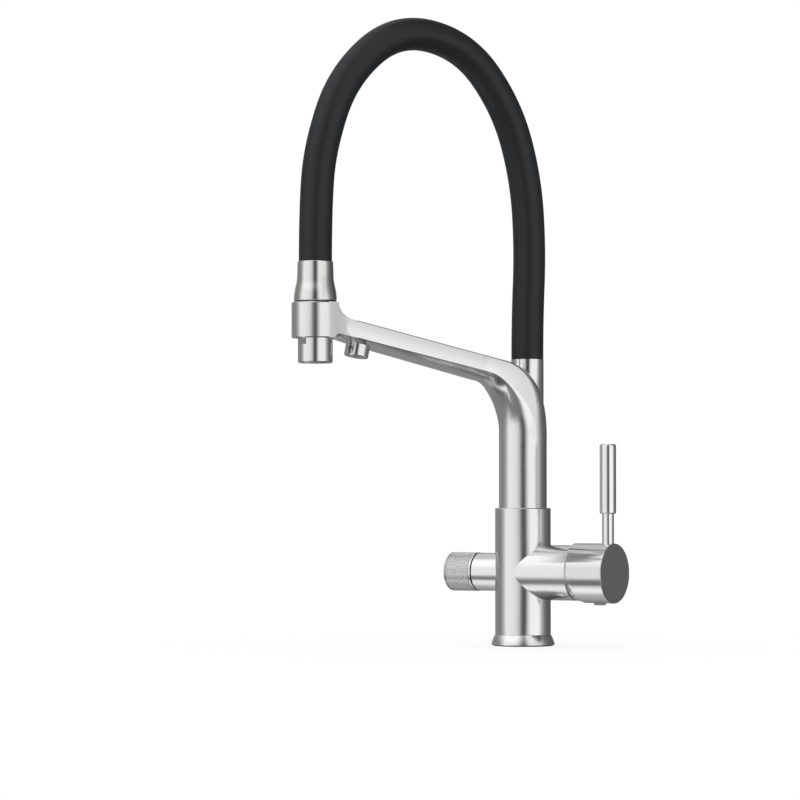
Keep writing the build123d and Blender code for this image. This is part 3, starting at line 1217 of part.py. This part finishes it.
# Spray head
with BuildPart() as head_bell:
    with BuildSketch(HEAD):
        with BuildLine():
            foot_wide = HEAD_R + BELL_FLARE
            waist = HEAD_R + BELL_WAIST
            curve_z = bell_bottom + BELL_EDGE
            half_way = ((foot_wide + waist) / 2, curve_z + BELL_CURVE / 2)
            lip_r = waist - 0.25
            Line((HEAD_R, bell_bottom), (foot_wide - BELL_EDGE, bell_bottom))
            RadiusArc((foot_wide - BELL_EDGE, bell_bottom), (foot_wide, curve_z), -BELL_EDGE)
            lower_curve = TangentArc((foot_wide, curve_z), half_way, tangent=(0, 1))
            TangentArc(half_way, (waist, curve_z + BELL_CURVE), tangent=lower_curve % 1)
            Polyline(
                (waist, curve_z + BELL_CURVE),
                (lip_r, bell_top - 0.3),
                (lip_r - 0.2, bell_top),
                (HOSE_R + GAP, bell_top),
                (HOSE_R + GAP, bell_top - BELL_LIP_L),
                (BELL_CAVITY_R, bell_top - BELL_LIP_L),
                (BELL_CAVITY_R, nozzle_top),
                (HEAD_R, nozzle_top),
                (HEAD_R, bell_bottom),
            )
        make_face()
    revolve(axis=HEAD_AXIS)
head_bell.part.label = "head_bell"
export_step(head_bell.part, "parts/head_bell.step")

with BuildPart() as nozzle_body:
    thread_top = nozzle_seam + NOZZLE_THREAD_L + NOZZLE_SEAL_T
    revolve(
        polygon(
            HEAD,
            (NOZZLE_THREAD_R, nozzle_seam),
            (HEAD_R - SEAM_DEPTH, nozzle_seam),
            (HEAD_R - SEAM_DEPTH, nozzle_seam + SEAM_DEPTH),
            (HEAD_R, nozzle_seam + SEAM_DEPTH),
            (HEAD_R, nozzle_top),
            (SWIVEL_R + RUNNING, nozzle_top),
            (SWIVEL_R + RUNNING, nozzle_top - NOZZLE_PLATE_T),
            (NOZZLE_BORE_R, nozzle_top - NOZZLE_PLATE_T),
            (NOZZLE_BORE_R, thread_top),
            (NOZZLE_THREAD_R, thread_top),
        ),
        axis=HEAD_AXIS,
    )
    oring_low = nozzle_top - (NOZZLE_PLATE_T + SWIVEL_SEAL_H) / 2
    oring_groove = circles(upright(oring_low, ring_at), SWIVEL_SEAL_R, (0, 0))
    extrude(oring_groove, amount=SWIVEL_SEAL_H, mode=Mode.SUBTRACT)
    flat_low = HEAD.origin + Vector(0, 0, nozzle_seam + FLAT_FROM)
    with BuildSketch(Plane(origin=flat_low, x_dir=arm_out, z_dir=(0, 0, 1))):
        Rectangle(4 * HEAD_R, 4 * HEAD_R)
        Rectangle(2 * FLAT_OFFSET, 4 * HEAD_R, mode=Mode.SUBTRACT)
    extrude(amount=FLAT_H, mode=Mode.SUBTRACT)
nozzle_body.part.label = "nozzle_body"
export_step(nozzle_body.part, "parts/nozzle_body.step")

with BuildPart() as swivel_oring:
    extrude(washer(upright(oring_low, ring_at), SWIVEL_SEAL_R, SWIVEL_R + 0.03), amount=SWIVEL_SEAL_H)
swivel_oring.part.label = "swivel_oring"
export_step(swivel_oring.part, "parts/swivel_oring.step")

with BuildPart() as check_valve:
    check_valve_z = nozzle_seam + CHECK_VALVE_LIFT
    valve_ring = washer(upright(check_valve_z, ring_at), NOZZLE_BORE_R, CHECK_VALVE_BORE_R)
    extrude(valve_ring, amount=CHECK_VALVE_T)
    with BuildSketch(upright(check_valve_z, ring_at)):
        with PolarLocations(0, 3):
            Rectangle(2 * NOZZLE_BORE_R - 4, 1.4)
        Circle(2.4)
    extrude(amount=1.6)
check_valve.part.label = "check_valve"
export_step(check_valve.part, "parts/check_valve.step")

with BuildPart() as nozzle_seal:
    seal_low = nozzle_seam + NOZZLE_THREAD_L
    extrude(washer(upright(seal_low, ring_at), NOZZLE_THREAD_R, NOZZLE_BORE_R), amount=NOZZLE_SEAL_T)
nozzle_seal.part.label = "nozzle_seal"
export_step(nozzle_seal.part, "parts/nozzle_seal.step")

with BuildPart() as nozzle_collar:
    extrude(circles(upright(nozzle_bottom, ring_at), HEAD_R, (0, 0)), amount=NOZZLE_COLLAR_H)
    fillet(nozzle_collar.edges().group_by(Axis.Z)[0], NOZZLE_EDGE)
    extrude(circles(upright(nozzle_seam, ring_at), NOZZLE_THREAD_R, (0, 0)), amount=NOZZLE_THREAD_L)
    collar_foot = upright(nozzle_bottom, ring_at)
    collar_bore = circles(collar_foot, NOZZLE_BORE_R, (0, 0))
    extrude(collar_bore, amount=NOZZLE_COLLAR_H + NOZZLE_THREAD_L, mode=Mode.SUBTRACT)
    aerator_seat = circles(collar_foot, HEAD_AERATOR_R, (0, 0))
    extrude(aerator_seat, amount=HEAD_AERATOR_INSET + HEAD_AERATOR_T, mode=Mode.SUBTRACT)
nozzle_collar.part.label = "nozzle_collar"
export_step(nozzle_collar.part, "parts/nozzle_collar.step")

with BuildPart() as nozzle_aerator:
    spray_face = upright(nozzle_bottom + HEAD_AERATOR_INSET, ring_at)
    extrude(circles(spray_face, HEAD_AERATOR_R, (0, 0)), amount=HEAD_AERATOR_T)
    extrude(honeycomb(spray_face, HEAD_AERATOR_R - 1.4), amount=HEAD_AERATOR_T, mode=Mode.SUBTRACT)
nozzle_aerator.part.label = "nozzle_aerator"
export_step(nozzle_aerator.part, "parts/nozzle_aerator.step")
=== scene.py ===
"""Looks of a three-way kitchen mixer tap: camera, studio light, finishes, knurled knob and hoses.

Lengths are in metres and +Z is up.
"""

import bpy
import json
import math
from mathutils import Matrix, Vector


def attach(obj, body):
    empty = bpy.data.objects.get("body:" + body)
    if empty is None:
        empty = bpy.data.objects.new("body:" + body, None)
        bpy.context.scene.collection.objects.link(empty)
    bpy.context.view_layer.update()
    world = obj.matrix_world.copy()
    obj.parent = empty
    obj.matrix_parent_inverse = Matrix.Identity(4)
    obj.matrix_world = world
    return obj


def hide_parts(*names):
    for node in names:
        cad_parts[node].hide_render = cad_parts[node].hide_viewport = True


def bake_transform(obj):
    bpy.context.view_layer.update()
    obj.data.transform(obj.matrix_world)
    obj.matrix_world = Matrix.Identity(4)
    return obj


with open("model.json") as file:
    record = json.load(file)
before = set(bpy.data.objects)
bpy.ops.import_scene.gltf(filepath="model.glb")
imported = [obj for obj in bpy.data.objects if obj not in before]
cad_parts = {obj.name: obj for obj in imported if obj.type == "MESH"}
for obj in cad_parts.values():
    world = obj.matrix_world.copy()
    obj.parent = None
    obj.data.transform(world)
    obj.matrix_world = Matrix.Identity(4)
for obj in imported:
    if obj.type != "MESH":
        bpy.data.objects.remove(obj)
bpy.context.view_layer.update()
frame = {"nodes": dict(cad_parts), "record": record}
scene = bpy.context.scene
scene.view_settings.view_transform = "Standard"

MM = 0.001

# Camera: it stands to the right of the tap, level with the lever's grip, and looks up very slightly
EYE = Vector((1.43014, -2.40922, 0.124))
VIEW_TURN = math.radians(32.7)      # from +Y towards -X
VIEW_RISE = math.radians(1.47)
LENS = 157.8                        # in millimetres, as the sensor's width is
SENSOR = 36
VIEW_NEAR = 0.1
VIEW_FAR = 50

# Spout's upright plane
SPOUT_TURN = math.radians(24)       # from -Y towards -X
ARM_OUT = Vector((-math.sin(SPOUT_TURN), -math.cos(SPOUT_TURN), 0))
ARM_SIDE = ARM_OUT.cross(Vector((0, 0, 1)))

# Hoses: middle line in the spout's plane, distance from the riser's axis and height
POST_S = -4.5 * MM
REACH = 195.2 * MM
HOSE_FOOT_Z = 228.3 * MM
CORE_FOOT_Z = 230.3 * MM
HOSE_HEAD_Z = 297.0 * MM
HOSE_BENDS = (
    (POST_S, 259.0 * MM),
    (-7.3 * MM, 317.0 * MM),
    (-2.9 * MM, 374.0 * MM),
    (15.5 * MM, 429.5 * MM),
    (56.5 * MM, 476.0 * MM),
    (120.0 * MM, 485.5 * MM),
    (169.5 * MM, 445.0 * MM),
    (190.6 * MM, 389.5 * MM),
    (REACH, 343.0 * MM),
)
HOSE_R = 12.8 * MM
HOSE_BORE_R = 8.5 * MM
CORE_R = 8.3 * MM
CORE_BORE_R = 5.5 * MM
HOSE_EDGE = 0.5 * MM                # bevel round the outside of both ends
HOSE_SIDES = 72
HOSE_STEPS = 22                     # spline steps from one control point to the next
SHARP_EDGE = math.radians(40)       # flatter edges are shaded smooth

# Knurled band of the filter knob
BRANCH_Z = 58.4 * MM                # axis of the handle and the knob
KNURL_START = 42.2 * MM             # along -X
KNURL_END = 64.0 * MM
KNURL_PEAK_R = 15.5 * MM
KNURL_ROOT_R = 15.12 * MM
KNURL_SUNK_R = 14.9 * MM            # inside of the band, under the knob's own surface
KNURL_STEEPNESS = 3.0               # above 1 the diamonds have flat tops
KNURL_FADE = 3                      # steps over which the relief rises at each end
DIAMONDS_ROUND = 46
DIAMONDS_ALONG = 10
DIAMOND_STEPS = 8


def make_camera():
    data = bpy.data.cameras.new("camera")
    data.lens = LENS
    data.sensor_width = SENSOR
    data.clip_start = VIEW_NEAR
    data.clip_end = VIEW_FAR
    camera = bpy.data.objects.new("camera", data)
    scene.collection.objects.link(camera)
    level = Vector((-math.sin(VIEW_TURN), math.cos(VIEW_TURN), 0))
    look = level * math.cos(VIEW_RISE) + Vector((0, 0, math.sin(VIEW_RISE)))
    camera.location = EYE
    camera.rotation_mode = "QUATERNION"
    camera.rotation_quaternion = look.to_track_quat("-Z", "Y")
    scene.camera = camera


make_camera()


def add_mesh(name, vertices, faces, material):
    mesh = bpy.data.meshes.new(name)
    mesh.from_pydata(vertices, [], faces)
    mesh.update()
    mesh.materials.append(material)
    thing = bpy.data.objects.new(name, mesh)
    scene.collection.objects.link(thing)
    return thing


def ring_faces(rings, sides):
    """Four-sided faces from each ring of points to the next, and from the last one back to the first."""
    faces = []
    for i in range(rings):
        here = i * sides
        there = (i + 1) % rings * sides
        for k in range(sides):
            after = (k + 1) % sides
            faces.append((here + k, here + after, there + after, there + k))
    return faces


class Nodes:
    """A material's or the world's node tree, with short calls for its nodes."""

    def __init__(self, owner):
        owner.use_nodes = True
        self.tree = owner.node_tree
        self.tree.nodes.clear()

    def add(self, kind, inputs=None, **settings):
        node = self.tree.nodes.new(kind)
        for name, value in settings.items():
            setattr(node, name, value)
        for name, value in (inputs or {}).items():
            socket = node.inputs[name]
            if isinstance(value, bpy.types.NodeSocket):
                self.tree.links.new(value, socket)
            else:
                socket.default_value = value
        return node

    def math(self, operation, *values):
        inputs = dict(enumerate(values))
        return self.add("ShaderNodeMath", inputs, operation=operation).outputs[0]

    def vector(self, operation, *values, output="Vector"):
        inputs = dict(enumerate(values))
        return self.add("ShaderNodeVectorMath", inputs, operation=operation).outputs[output]

    def ramp(self, factor, *stops):
        node = self.add("ShaderNodeValToRGB", {"Fac": factor})
        elements = node.color_ramp.elements
        while len(elements) < len(stops):
            elements.new(1)
        for element, (place, value) in zip(elements, stops):
            element.position = place
            element.color = (value, value, value, 1)
        return node.outputs["Color"]

    def map_range(self, value, low, high, to_low=0.0, to_high=1.0):
        inputs = {"Value": value, 1: low, 2: high, 3: to_low, 4: to_high}
        return self.add("ShaderNodeMapRange", inputs, interpolation_type="SMOOTHSTEP").outputs[0]

    def mix(self, factor, a, b):
        return self.add("ShaderNodeMix", {0: factor, 6: a, 7: b}, data_type="RGBA").outputs[2]

    def noise(self, coordinates, scale, detail, roughness=0.5):
        inputs = {"Vector": coordinates, "Scale": scale, "Detail": detail, "Roughness": roughness}
        return self.add("ShaderNodeTexNoise", inputs).outputs["Fac"]

    def bump(self, height, strength):
        inputs = {"Height": height, "Strength": strength, "Distance": RELIEF}
        return self.add("ShaderNodeBump", inputs).outputs[0]

    def object_place(self):
        return self.add("ShaderNodeTexCoord").outputs["Object"]

    def principled(self, inputs):
        shader = self.add("ShaderNodeBsdfPrincipled", inputs).outputs[0]
        self.add("ShaderNodeOutputMaterial", {"Surface": shader})


# Studio light, as the metal sees it: bands of panels, one above another.
# Stops: degrees from the camera towards the right of the picture, brightness
LEVEL_PANELS = (            # at the tap's own height
    (-180, 0.30),
    (-110, 0.22),
    (-92, 0.41),
    (-76, 0.93),
    (-60, 0.90),
    (-42, 0.86),
    (-30, 0.78),
    (-18, 0.58),
    (-9, 0.14),
    (2, 0.05),
    (8, 0.08),
    (15, 0.50),
    (28, 1.02),
    (54, 1.13),
    (66, 1.12),
    (76, 0.72),
    (86, 0.40),
    (100, 0.18),
    (114, 0.12),
    (150, 0.09),
    (180, 0.30),
)
EYE_SHADE = (               # share taken off the level panels above the camera's height
    (-180, 0.0),
    (20, 0.0),
    (48, 0.35),
    (90, 0.35),
    (115, 0.0),
    (180, 0.0),
)
UPPER_PANELS = (
    (-180, 0.62),
    (-125, 0.60),
    (-88, 1.20),
    (-40, 1.15),
    (-14, 0.75),
    (-4, 0.28),
    (6, 0.25),
    (18, 0.85),
    (40, 1.00),
    (62, 0.70),
    (82, 0.28),
    (120, 0.08),
    (155, 0.14),
    (180, 0.62),
)
HORIZON_SHADE = (           # foot of the walls
    (-180, 0.26),
    (-120, 0.20),
    (20, 0.20),
    (52, 0.13),
    (72, 0.09),
    (130, 0.07),
    (156, 0.14),
    (180, 0.26),
)
WORKTOP_GLOW = (            # worktop further off
    (-180, 0.26),
    (-161, 0.42),
    (-146, 0.14),
    (-106, 0.11),
    (-97, 0.40),
    (-88, 1.10),
    (-80, 0.95),
    (-68, 0.32),
    (-20, 0.24),
    (40, 0.16),
    (66, 0.10),
    (104, 0.06),
    (146, 0.05),
    (164, 0.14),
    (180, 0.28),
)
FLOOR_GLOW = (              # worktop nearer the tap
    (-180, 0.26),
    (-160, 0.42),
    (-130, 0.56),
    (-88, 1.20),
    (-78, 1.05),
    (-62, 0.42),
    (-20, 0.28),
    (10, 0.24),
    (60, 0.14),
    (100, 0.06),
    (146, 0.05),
    (165, 0.12),
    (180, 0.28),
)
BASE_SHADE = 0.09           # worktop close around the tap

# Where each band gives way to the next, in degrees above the horizon
EYE_SHADE_EDGE = (-8, 14)
UPPER_EDGE = (16, 42)
HORIZON_EDGE = (-12, -27)
WORKTOP_EDGE = (-36, -43)
FLOOR_EDGE = (-50, -56)
BASE_EDGE = (-59, -68)

CAMERA_AZIMUTH = VIEW_TURN - math.pi / 2    # way from the tap to the camera, from +X towards +Y
WHITE = (1, 1, 1, 1)
BLACK = (0, 0, 0, 1)


def make_world():
    world = bpy.data.worlds.new("studio")
    scene.world = world
    nodes = Nodes(world)
    way = nodes.add("ShaderNodeTexCoord").outputs["Generated"]
    parts = nodes.add("ShaderNodeSeparateXYZ", {0: way}).outputs
    azimuth = nodes.math("ARCTAN2", parts[1], parts[0])
    turned = nodes.math("SUBTRACT", azimuth, CAMERA_AZIMUTH)
    # a full turn is 1, and the camera's way is 0.5
    share = nodes.math("FRACT", nodes.math("ADD", nodes.math("DIVIDE", turned, 2 * math.pi), 1.5))
    height = nodes.math("ARCSINE", parts[2])

    def panels(stops):
        return nodes.ramp(share, *((0.5 + angle / 360, value) for angle, value in stops))

    def past(edge):
        """0 before the edge's first height, 1 past its second."""
        return nodes.map_range(height, *(math.radians(angle) for angle in edge))

    shaded = nodes.math("MULTIPLY", past(EYE_SHADE_EDGE), panels(EYE_SHADE))
    level = nodes.mix(shaded, panels(LEVEL_PANELS), BLACK)
    walls = nodes.mix(past(UPPER_EDGE), level, panels(UPPER_PANELS))
    skirting = nodes.mix(past(HORIZON_EDGE), walls, panels(HORIZON_SHADE))
    worktop = nodes.mix(past(WORKTOP_EDGE), skirting, panels(WORKTOP_GLOW))
    floor = nodes.mix(past(FLOOR_EDGE), worktop, panels(FLOOR_GLOW))
    studio = nodes.mix(past(BASE_EDGE), floor, (BASE_SHADE, BASE_SHADE, BASE_SHADE, 1))
    rays = nodes.add("ShaderNodeLightPath").outputs
    reflected = nodes.add("ShaderNodeBackground", {"Color": studio, "Strength": 1.0}).outputs[0]
    plain = nodes.add("ShaderNodeBackground", {"Color": WHITE, "Strength": 1.0}).outputs[0]
    both = nodes.add("ShaderNodeMixShader", {0: rays["Is Glossy Ray"], 1: plain, 2: reflected}).outputs[0]
    nodes.add("ShaderNodeOutputWorld", {"Surface": both})
    world.cycles.sampling_method = "NONE"


make_world()

FLOOR_HALF = 6              # from the middle of the worktop to its sides
FLOOR_GLOW_SHARE = 0.8      # the rest takes the tap's soft shadow


def make_floor():
    material = bpy.data.materials.new("worktop")
    nodes = Nodes(material)
    lit = nodes.add("ShaderNodeBsdfDiffuse", {"Color": WHITE}).outputs[0]
    glow = nodes.add("ShaderNodeEmission", {"Color": WHITE, "Strength": 1.0}).outputs[0]
    rays = nodes.add("ShaderNodeLightPath").outputs
    share = nodes.math("MULTIPLY", rays["Is Camera Ray"], FLOOR_GLOW_SHARE)
    both = nodes.add("ShaderNodeMixShader", {0: share, 1: lit, 2: glow}).outputs[0]
    nodes.add("ShaderNodeOutputMaterial", {"Surface": both})
    corners = [(x * FLOOR_HALF, y * FLOOR_HALF, 0) for x, y in ((-1, -1), (1, -1), (1, 1), (-1, 1))]
    floor = add_mesh("worktop", corners, [(0, 1, 2, 3)], material)
    floor.visible_glossy = False


make_floor()

# Finishes
STEEL = (0.87, 0.867, 0.858)
CAP_STEEL = (0.79, 0.787, 0.775)
KNURL_STEEL = (0.93, 0.93, 0.93)
CHROME = (0.89, 0.89, 0.89)
DULL_STEEL = (0.62, 0.61, 0.6)
BRASS = (0.82, 0.62, 0.3)
# Painted shade laid into the knurl's grooves, standing in for their own shadow and reflections
PAINTED_GROOVE_SHADE = (0.30, 0.30, 0.30)
PAINTED_SHADE_DEPTH = 0.24 * MM                # height over which the painted shade in a groove fades
RELIEF = 0.02 * MM                      # height of the finest grain
STEEL_TINT = 0.02                       # share by which a metal's tone varies
MOULDED_TINT = 0.08
MOULDED_SPREAD = 0.05                   # by which a moulded skin's roughness varies
STEEL_CLOUDS = 40.0                     # slow changes of tone, per metre
MOULDED_CLOUDS = 60.0
GRAIN_SHARE = 0.6                       # of the tone, the rest is the slow change

# Grain: how fast it changes along X, Y and Z, per metre
TURNED_UPRIGHT = (60, 60, 5000)         # a piece turned about an upright axis
TURNED_ALONG_X = (5000, 60, 60)
GRAIN_OF_SPOUT = (2500, 2500, 60)
GRAIN_OF_STEEL = (300, 300, 300)
GRAIN_OF_BRASS = (400, 400, 400)

# Polished stretch of the post behind the bend
POLISH_INNER_R = 13.3 * MM              # just over the post's radius
POLISH_OUTER_R = 14.0 * MM
POLISH_START_Z = 195 * MM
POLISH_FULL_Z = 206 * MM
POLISH_CUT = 0.55                       # share of the roughness taken off

# Polished side of the handle's cap
CAP_R = 23.55 * MM
RIM_START = 1.2 * MM                    # in from the cap's side
RIM_FULL = 0.6 * MM
RIM_ROUGHNESS = 0.55                    # share of the end face's roughness


def two_tones(color, share):
    """The colour made darker and lighter by a share."""
    dark = tuple(c * (1 - share) for c in color) + (1,)
    light = tuple(min(c * (1 + share), 1) for c in color) + (1,)
    return dark, light


def brushed_metal(name, color, roughness, grain_axes, spread=0.02, bump=0.04, polish=None, painted_shade=None):
    """Metal with fine brushing.

    polish gives a share of the roughness, and painted_shade how much of the metal's own colour shows
    against the painted shade colour, by place.
    """
    material = bpy.data.materials.new(name)
    nodes = Nodes(material)
    place = nodes.object_place()
    stretched = nodes.vector("MULTIPLY", place, grain_axes)
    grain = nodes.noise(stretched, scale=1.0, detail=3.0, roughness=0.6)
    cloud = nodes.noise(place, STEEL_CLOUDS, detail=3.0)
    grain_part = nodes.math("MULTIPLY", grain, GRAIN_SHARE)
    tone = nodes.math("ADD", grain_part, nodes.math("MULTIPLY", cloud, 1 - GRAIN_SHARE))
    base = nodes.mix(nodes.map_range(tone, 0.3, 0.7), *two_tones(color, STEEL_TINT))
    # painted shade: the colour goes to the painted groove shade where the mask falls to 0
    if painted_shade:
        base = nodes.mix(painted_shade(nodes, place), (*PAINTED_GROOVE_SHADE, 1), base)
    rough = nodes.map_range(tone, 0.25, 0.75, roughness - spread, roughness + spread)
    if polish:
        rough = nodes.math("MULTIPLY", rough, polish(nodes, place))
    normal = nodes.bump(grain, bump)
    nodes.principled({"Base Color": base, "Metallic": 1.0, "Roughness": rough, "Normal": normal})
    return material


def polished_post(nodes, place):
    """Less roughness on the post behind the bend, where it stands clear of the arm."""
    level = nodes.vector("MULTIPLY", place, (1, 1, 0))
    away = nodes.vector("DISTANCE", level, tuple(ARM_OUT * POST_S), output="Value")
    near = nodes.map_range(away, POLISH_INNER_R, POLISH_OUTER_R, 1.0, 0.0)
    height = nodes.add("ShaderNodeSeparateXYZ", {0: place}).outputs[2]
    high = nodes.map_range(height, POLISH_START_Z, POLISH_FULL_Z)
    cut = nodes.math("MULTIPLY", nodes.math("MULTIPLY", near, high), POLISH_CUT)
    return nodes.math("SUBTRACT", 1.0, cut)


def off_branch_axis(nodes, place):
    """Distance from the axis of the handle and the knob."""
    offset = nodes.vector("SUBTRACT", nodes.vector("MULTIPLY", place, (0, 1, 1)), (0, 0, BRANCH_Z))
    return nodes.vector("LENGTH", offset, output="Value")


def polished_rim(nodes, place):
    """Less roughness round the handle's cap than on its end face."""
    radius = off_branch_axis(nodes, place)
    return nodes.map_range(radius, CAP_R - RIM_START, CAP_R - RIM_FULL, 1.0, RIM_ROUGHNESS)


def out_of_painted_groove_shade(nodes, place):
    """Mask of the painted shade: 0 in the root of the knurl's grooves, rising to 1 above the painted dark
    part.
    """
    radius = off_branch_axis(nodes, place)
    return nodes.map_range(radius, KNURL_ROOT_R, KNURL_ROOT_R + PAINTED_SHADE_DEPTH)


def moulded(name, color, roughness, grain_scale=2500.0, bump=0.15, **extra):
    """Moulded plastic, rubber or ceramic with a fine skin."""
    material = bpy.data.materials.new(name)
    nodes = Nodes(material)
    place = nodes.object_place()
    skin = nodes.noise(place, grain_scale, detail=2.0)
    cloud = nodes.noise(place, MOULDED_CLOUDS, detail=3.0)
    base = nodes.mix(cloud, *two_tones(color, MOULDED_TINT))
    rough = nodes.map_range(skin, 0.3, 0.7, roughness - MOULDED_SPREAD, roughness + MOULDED_SPREAD)
    normal = nodes.bump(skin, bump)
    nodes.principled({"Base Color": base, "Roughness": rough, "Normal": normal, **extra})
    return material


upright_steel = brushed_metal("satin_upright", STEEL, 0.19, TURNED_UPRIGHT)
branch_steel = brushed_metal("satin_branch", STEEL, 0.19, TURNED_ALONG_X)
cap_steel = brushed_metal("satin_cap", CAP_STEEL, 0.24, TURNED_ALONG_X, polish=polished_rim)
head_steel = brushed_metal("satin_head", STEEL, 0.15, TURNED_UPRIGHT)
# the knurl's grooves get painted shade in their colour
knurl_steel = brushed_metal("knurled", KNURL_STEEL, 0.2, TURNED_ALONG_X, painted_shade=out_of_painted_groove_shade)
spout_steel = brushed_metal("satin_spout", STEEL, 0.20, GRAIN_OF_SPOUT, polish=polished_post)
chrome = brushed_metal("polished", CHROME, 0.06, TURNED_UPRIGHT, spread=0.01, bump=0.01)
plain_steel = brushed_metal("plain_steel", DULL_STEEL, 0.32, GRAIN_OF_STEEL, spread=0.05, bump=0.2)
brass = brushed_metal("brass", BRASS, 0.3, GRAIN_OF_BRASS, spread=0.05, bump=0.2)
silicone = moulded("silicone", (0.0125, 0.0145, 0.0165), 0.40, 1800.0, 0.08, **{"Specular IOR Level": 0.36})
rubber = moulded("seal_rubber", (0.018, 0.018, 0.018), 0.55)
hose_core = moulded("hose_core", (0.30, 0.31, 0.32), 0.5)
white_plastic = moulded("white_plastic", (0.78, 0.78, 0.76), 0.4)
grey_plastic = moulded("grey_plastic", (0.24, 0.24, 0.25), 0.42)
black_plastic = moulded("black_plastic", (0.02, 0.02, 0.021), 0.4)
ceramic = moulded("ceramic", (0.83, 0.81, 0.77), 0.18)

BY_SLOT = {
    "satin_steel": upright_steel,
    "polished_steel": chrome,
    "plain_steel": plain_steel,
    "brass": brass,
    "silicone": silicone,
    "hose_core": hose_core,
    "seal_rubber": rubber,
    "white_plastic": white_plastic,
    "grey_plastic": grey_plastic,
    "black_plastic": black_plastic,
    "ceramic": ceramic,
}
# Nodes whose finish isn't their slot's usual one
BY_NODE = {
    "spout": spout_steel,
    "cartridge_dome": branch_steel,
    "handle_cap": cap_steel,
    "handle_plug": grey_plastic,
    "filter_knob": branch_steel,
    "head_bell": head_steel,
    "nozzle_body": head_steel,
    "nozzle_collar": head_steel,
    "lever_grip": chrome,
}


def dress_nodes():
    for subpart in frame["record"]["subparts"]:
        node = frame["nodes"][subpart["node"]]
        material = BY_NODE.get(subpart["node"], BY_SLOT[subpart["material_slot"]])
        node.data.materials.clear()
        node.data.materials.append(material)


dress_nodes()


# Knurl: diamonds with flat tops between two crossing sets of grooves
def zigzag(value):
    """0 in a groove, 1 halfway to the next one."""
    return 1 - abs(2 * (value % 1) - 1)


def make_knurl():
    around = DIAMONDS_ROUND * DIAMOND_STEPS
    along = DIAMONDS_ALONG * DIAMOND_STEPS
    rows = []
    for j in range(along + 1):
        w = KNURL_START + (KNURL_END - KNURL_START) * j / along
        fade = min(1, j / KNURL_FADE, (along - j) / KNURL_FADE)
        row = []
        for i in range(around):
            turn = i / DIAMOND_STEPS
            travel = j / DIAMOND_STEPS
            peak = min(1, KNURL_STEEPNESS * min(zigzag(turn + travel), zigzag(turn - travel)))
            row.append((w, KNURL_ROOT_R + (KNURL_PEAK_R - KNURL_ROOT_R) * peak * fade))
        rows.append(row)
    rows.append([(KNURL_END, KNURL_SUNK_R)] * around)
    rows.append([(KNURL_START, KNURL_SUNK_R)] * around)
    vertices = []
    for row in rows:
        for i, (w, radius) in enumerate(row):
            angle = 2 * math.pi * i / around
            vertices.append((-w, radius * math.cos(angle), BRANCH_Z + radius * math.sin(angle)))
    knurl = add_mesh("knob_knurl", vertices, ring_faces(len(rows), around), knurl_steel)
    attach(knurl, "knob")


make_knurl()


# Hoses
def route(foot_z):
    """The hose's smooth middle line: a spline with the CAD tube's points as its control points."""
    points = [(POST_S, foot_z), *HOSE_BENDS, (REACH, HOSE_HEAD_Z)]
    curve = bpy.data.curves.new("route", "CURVE")
    curve.dimensions = "3D"
    spline = curve.splines.new("NURBS")
    spline.points.add(len(points) - 1)
    for point, (s, z) in zip(spline.points, points):
        place = ARM_OUT * s + Vector((0, 0, z))
        point.co = (*place, 1)
    spline.order_u = 3
    spline.use_endpoint_u = True
    spline.resolution_u = HOSE_STEPS
    line = bpy.data.objects.new("route", curve)
    scene.collection.objects.link(line)
    mesh = bpy.data.meshes.new_from_object(line)
    path = [vertex.co.copy() for vertex in mesh.vertices]
    bpy.data.objects.remove(line)
    return path


def hollow_tube(name, path, outer, bore, material):
    """A pipe with its wall and bore along a path that lies in the spout's plane."""
    sections = []
    for i, place in enumerate(path):
        along = (path[min(i + 1, len(path) - 1)] - path[max(i - 1, 0)]).normalized()
        sections.append((place, along))
    foot, foot_way = sections[0]
    head, head_way = sections[-1]
    rings = [(foot, foot_way, outer - HOSE_EDGE), (foot + foot_way * HOSE_EDGE, foot_way, outer)]
    rings += [(place, along, outer) for place, along in sections[1:-1]]
    rings += [(head - head_way * HOSE_EDGE, head_way, outer), (head, head_way, outer - HOSE_EDGE)]
    rings += [(place, along, bore) for place, along in reversed(sections)]
    vertices = []
    for place, along, radius in rings:
        up = ARM_SIDE.cross(along)
        for k in range(HOSE_SIDES):
            angle = 2 * math.pi * k / HOSE_SIDES
            vertices.append(place + ARM_SIDE * (radius * math.cos(angle)) + up * (radius * math.sin(angle)))
    tube = add_mesh(name, vertices, ring_faces(len(rings), HOSE_SIDES), material)
    mesh = tube.data
    mesh.polygons.foreach_set("use_smooth", [True] * len(mesh.polygons))
    mesh.set_sharp_from_angle(angle=SHARP_EDGE)
    return tube


def make_hoses():
    for name, node, foot_z, outer, bore, material, slot in (
        ("hose_sleeve", "silicone_hose", HOSE_FOOT_Z, HOSE_R, HOSE_BORE_R, silicone, "silicone"),
        ("hose_inner", "water_hose", CORE_FOOT_Z, CORE_R, CORE_BORE_R, hose_core, "hose_core"),
    ):
        path = route(foot_z)
        tube = hollow_tube(name, path, outer, bore, material)
        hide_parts(node)
        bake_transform(tube)


make_hoses()
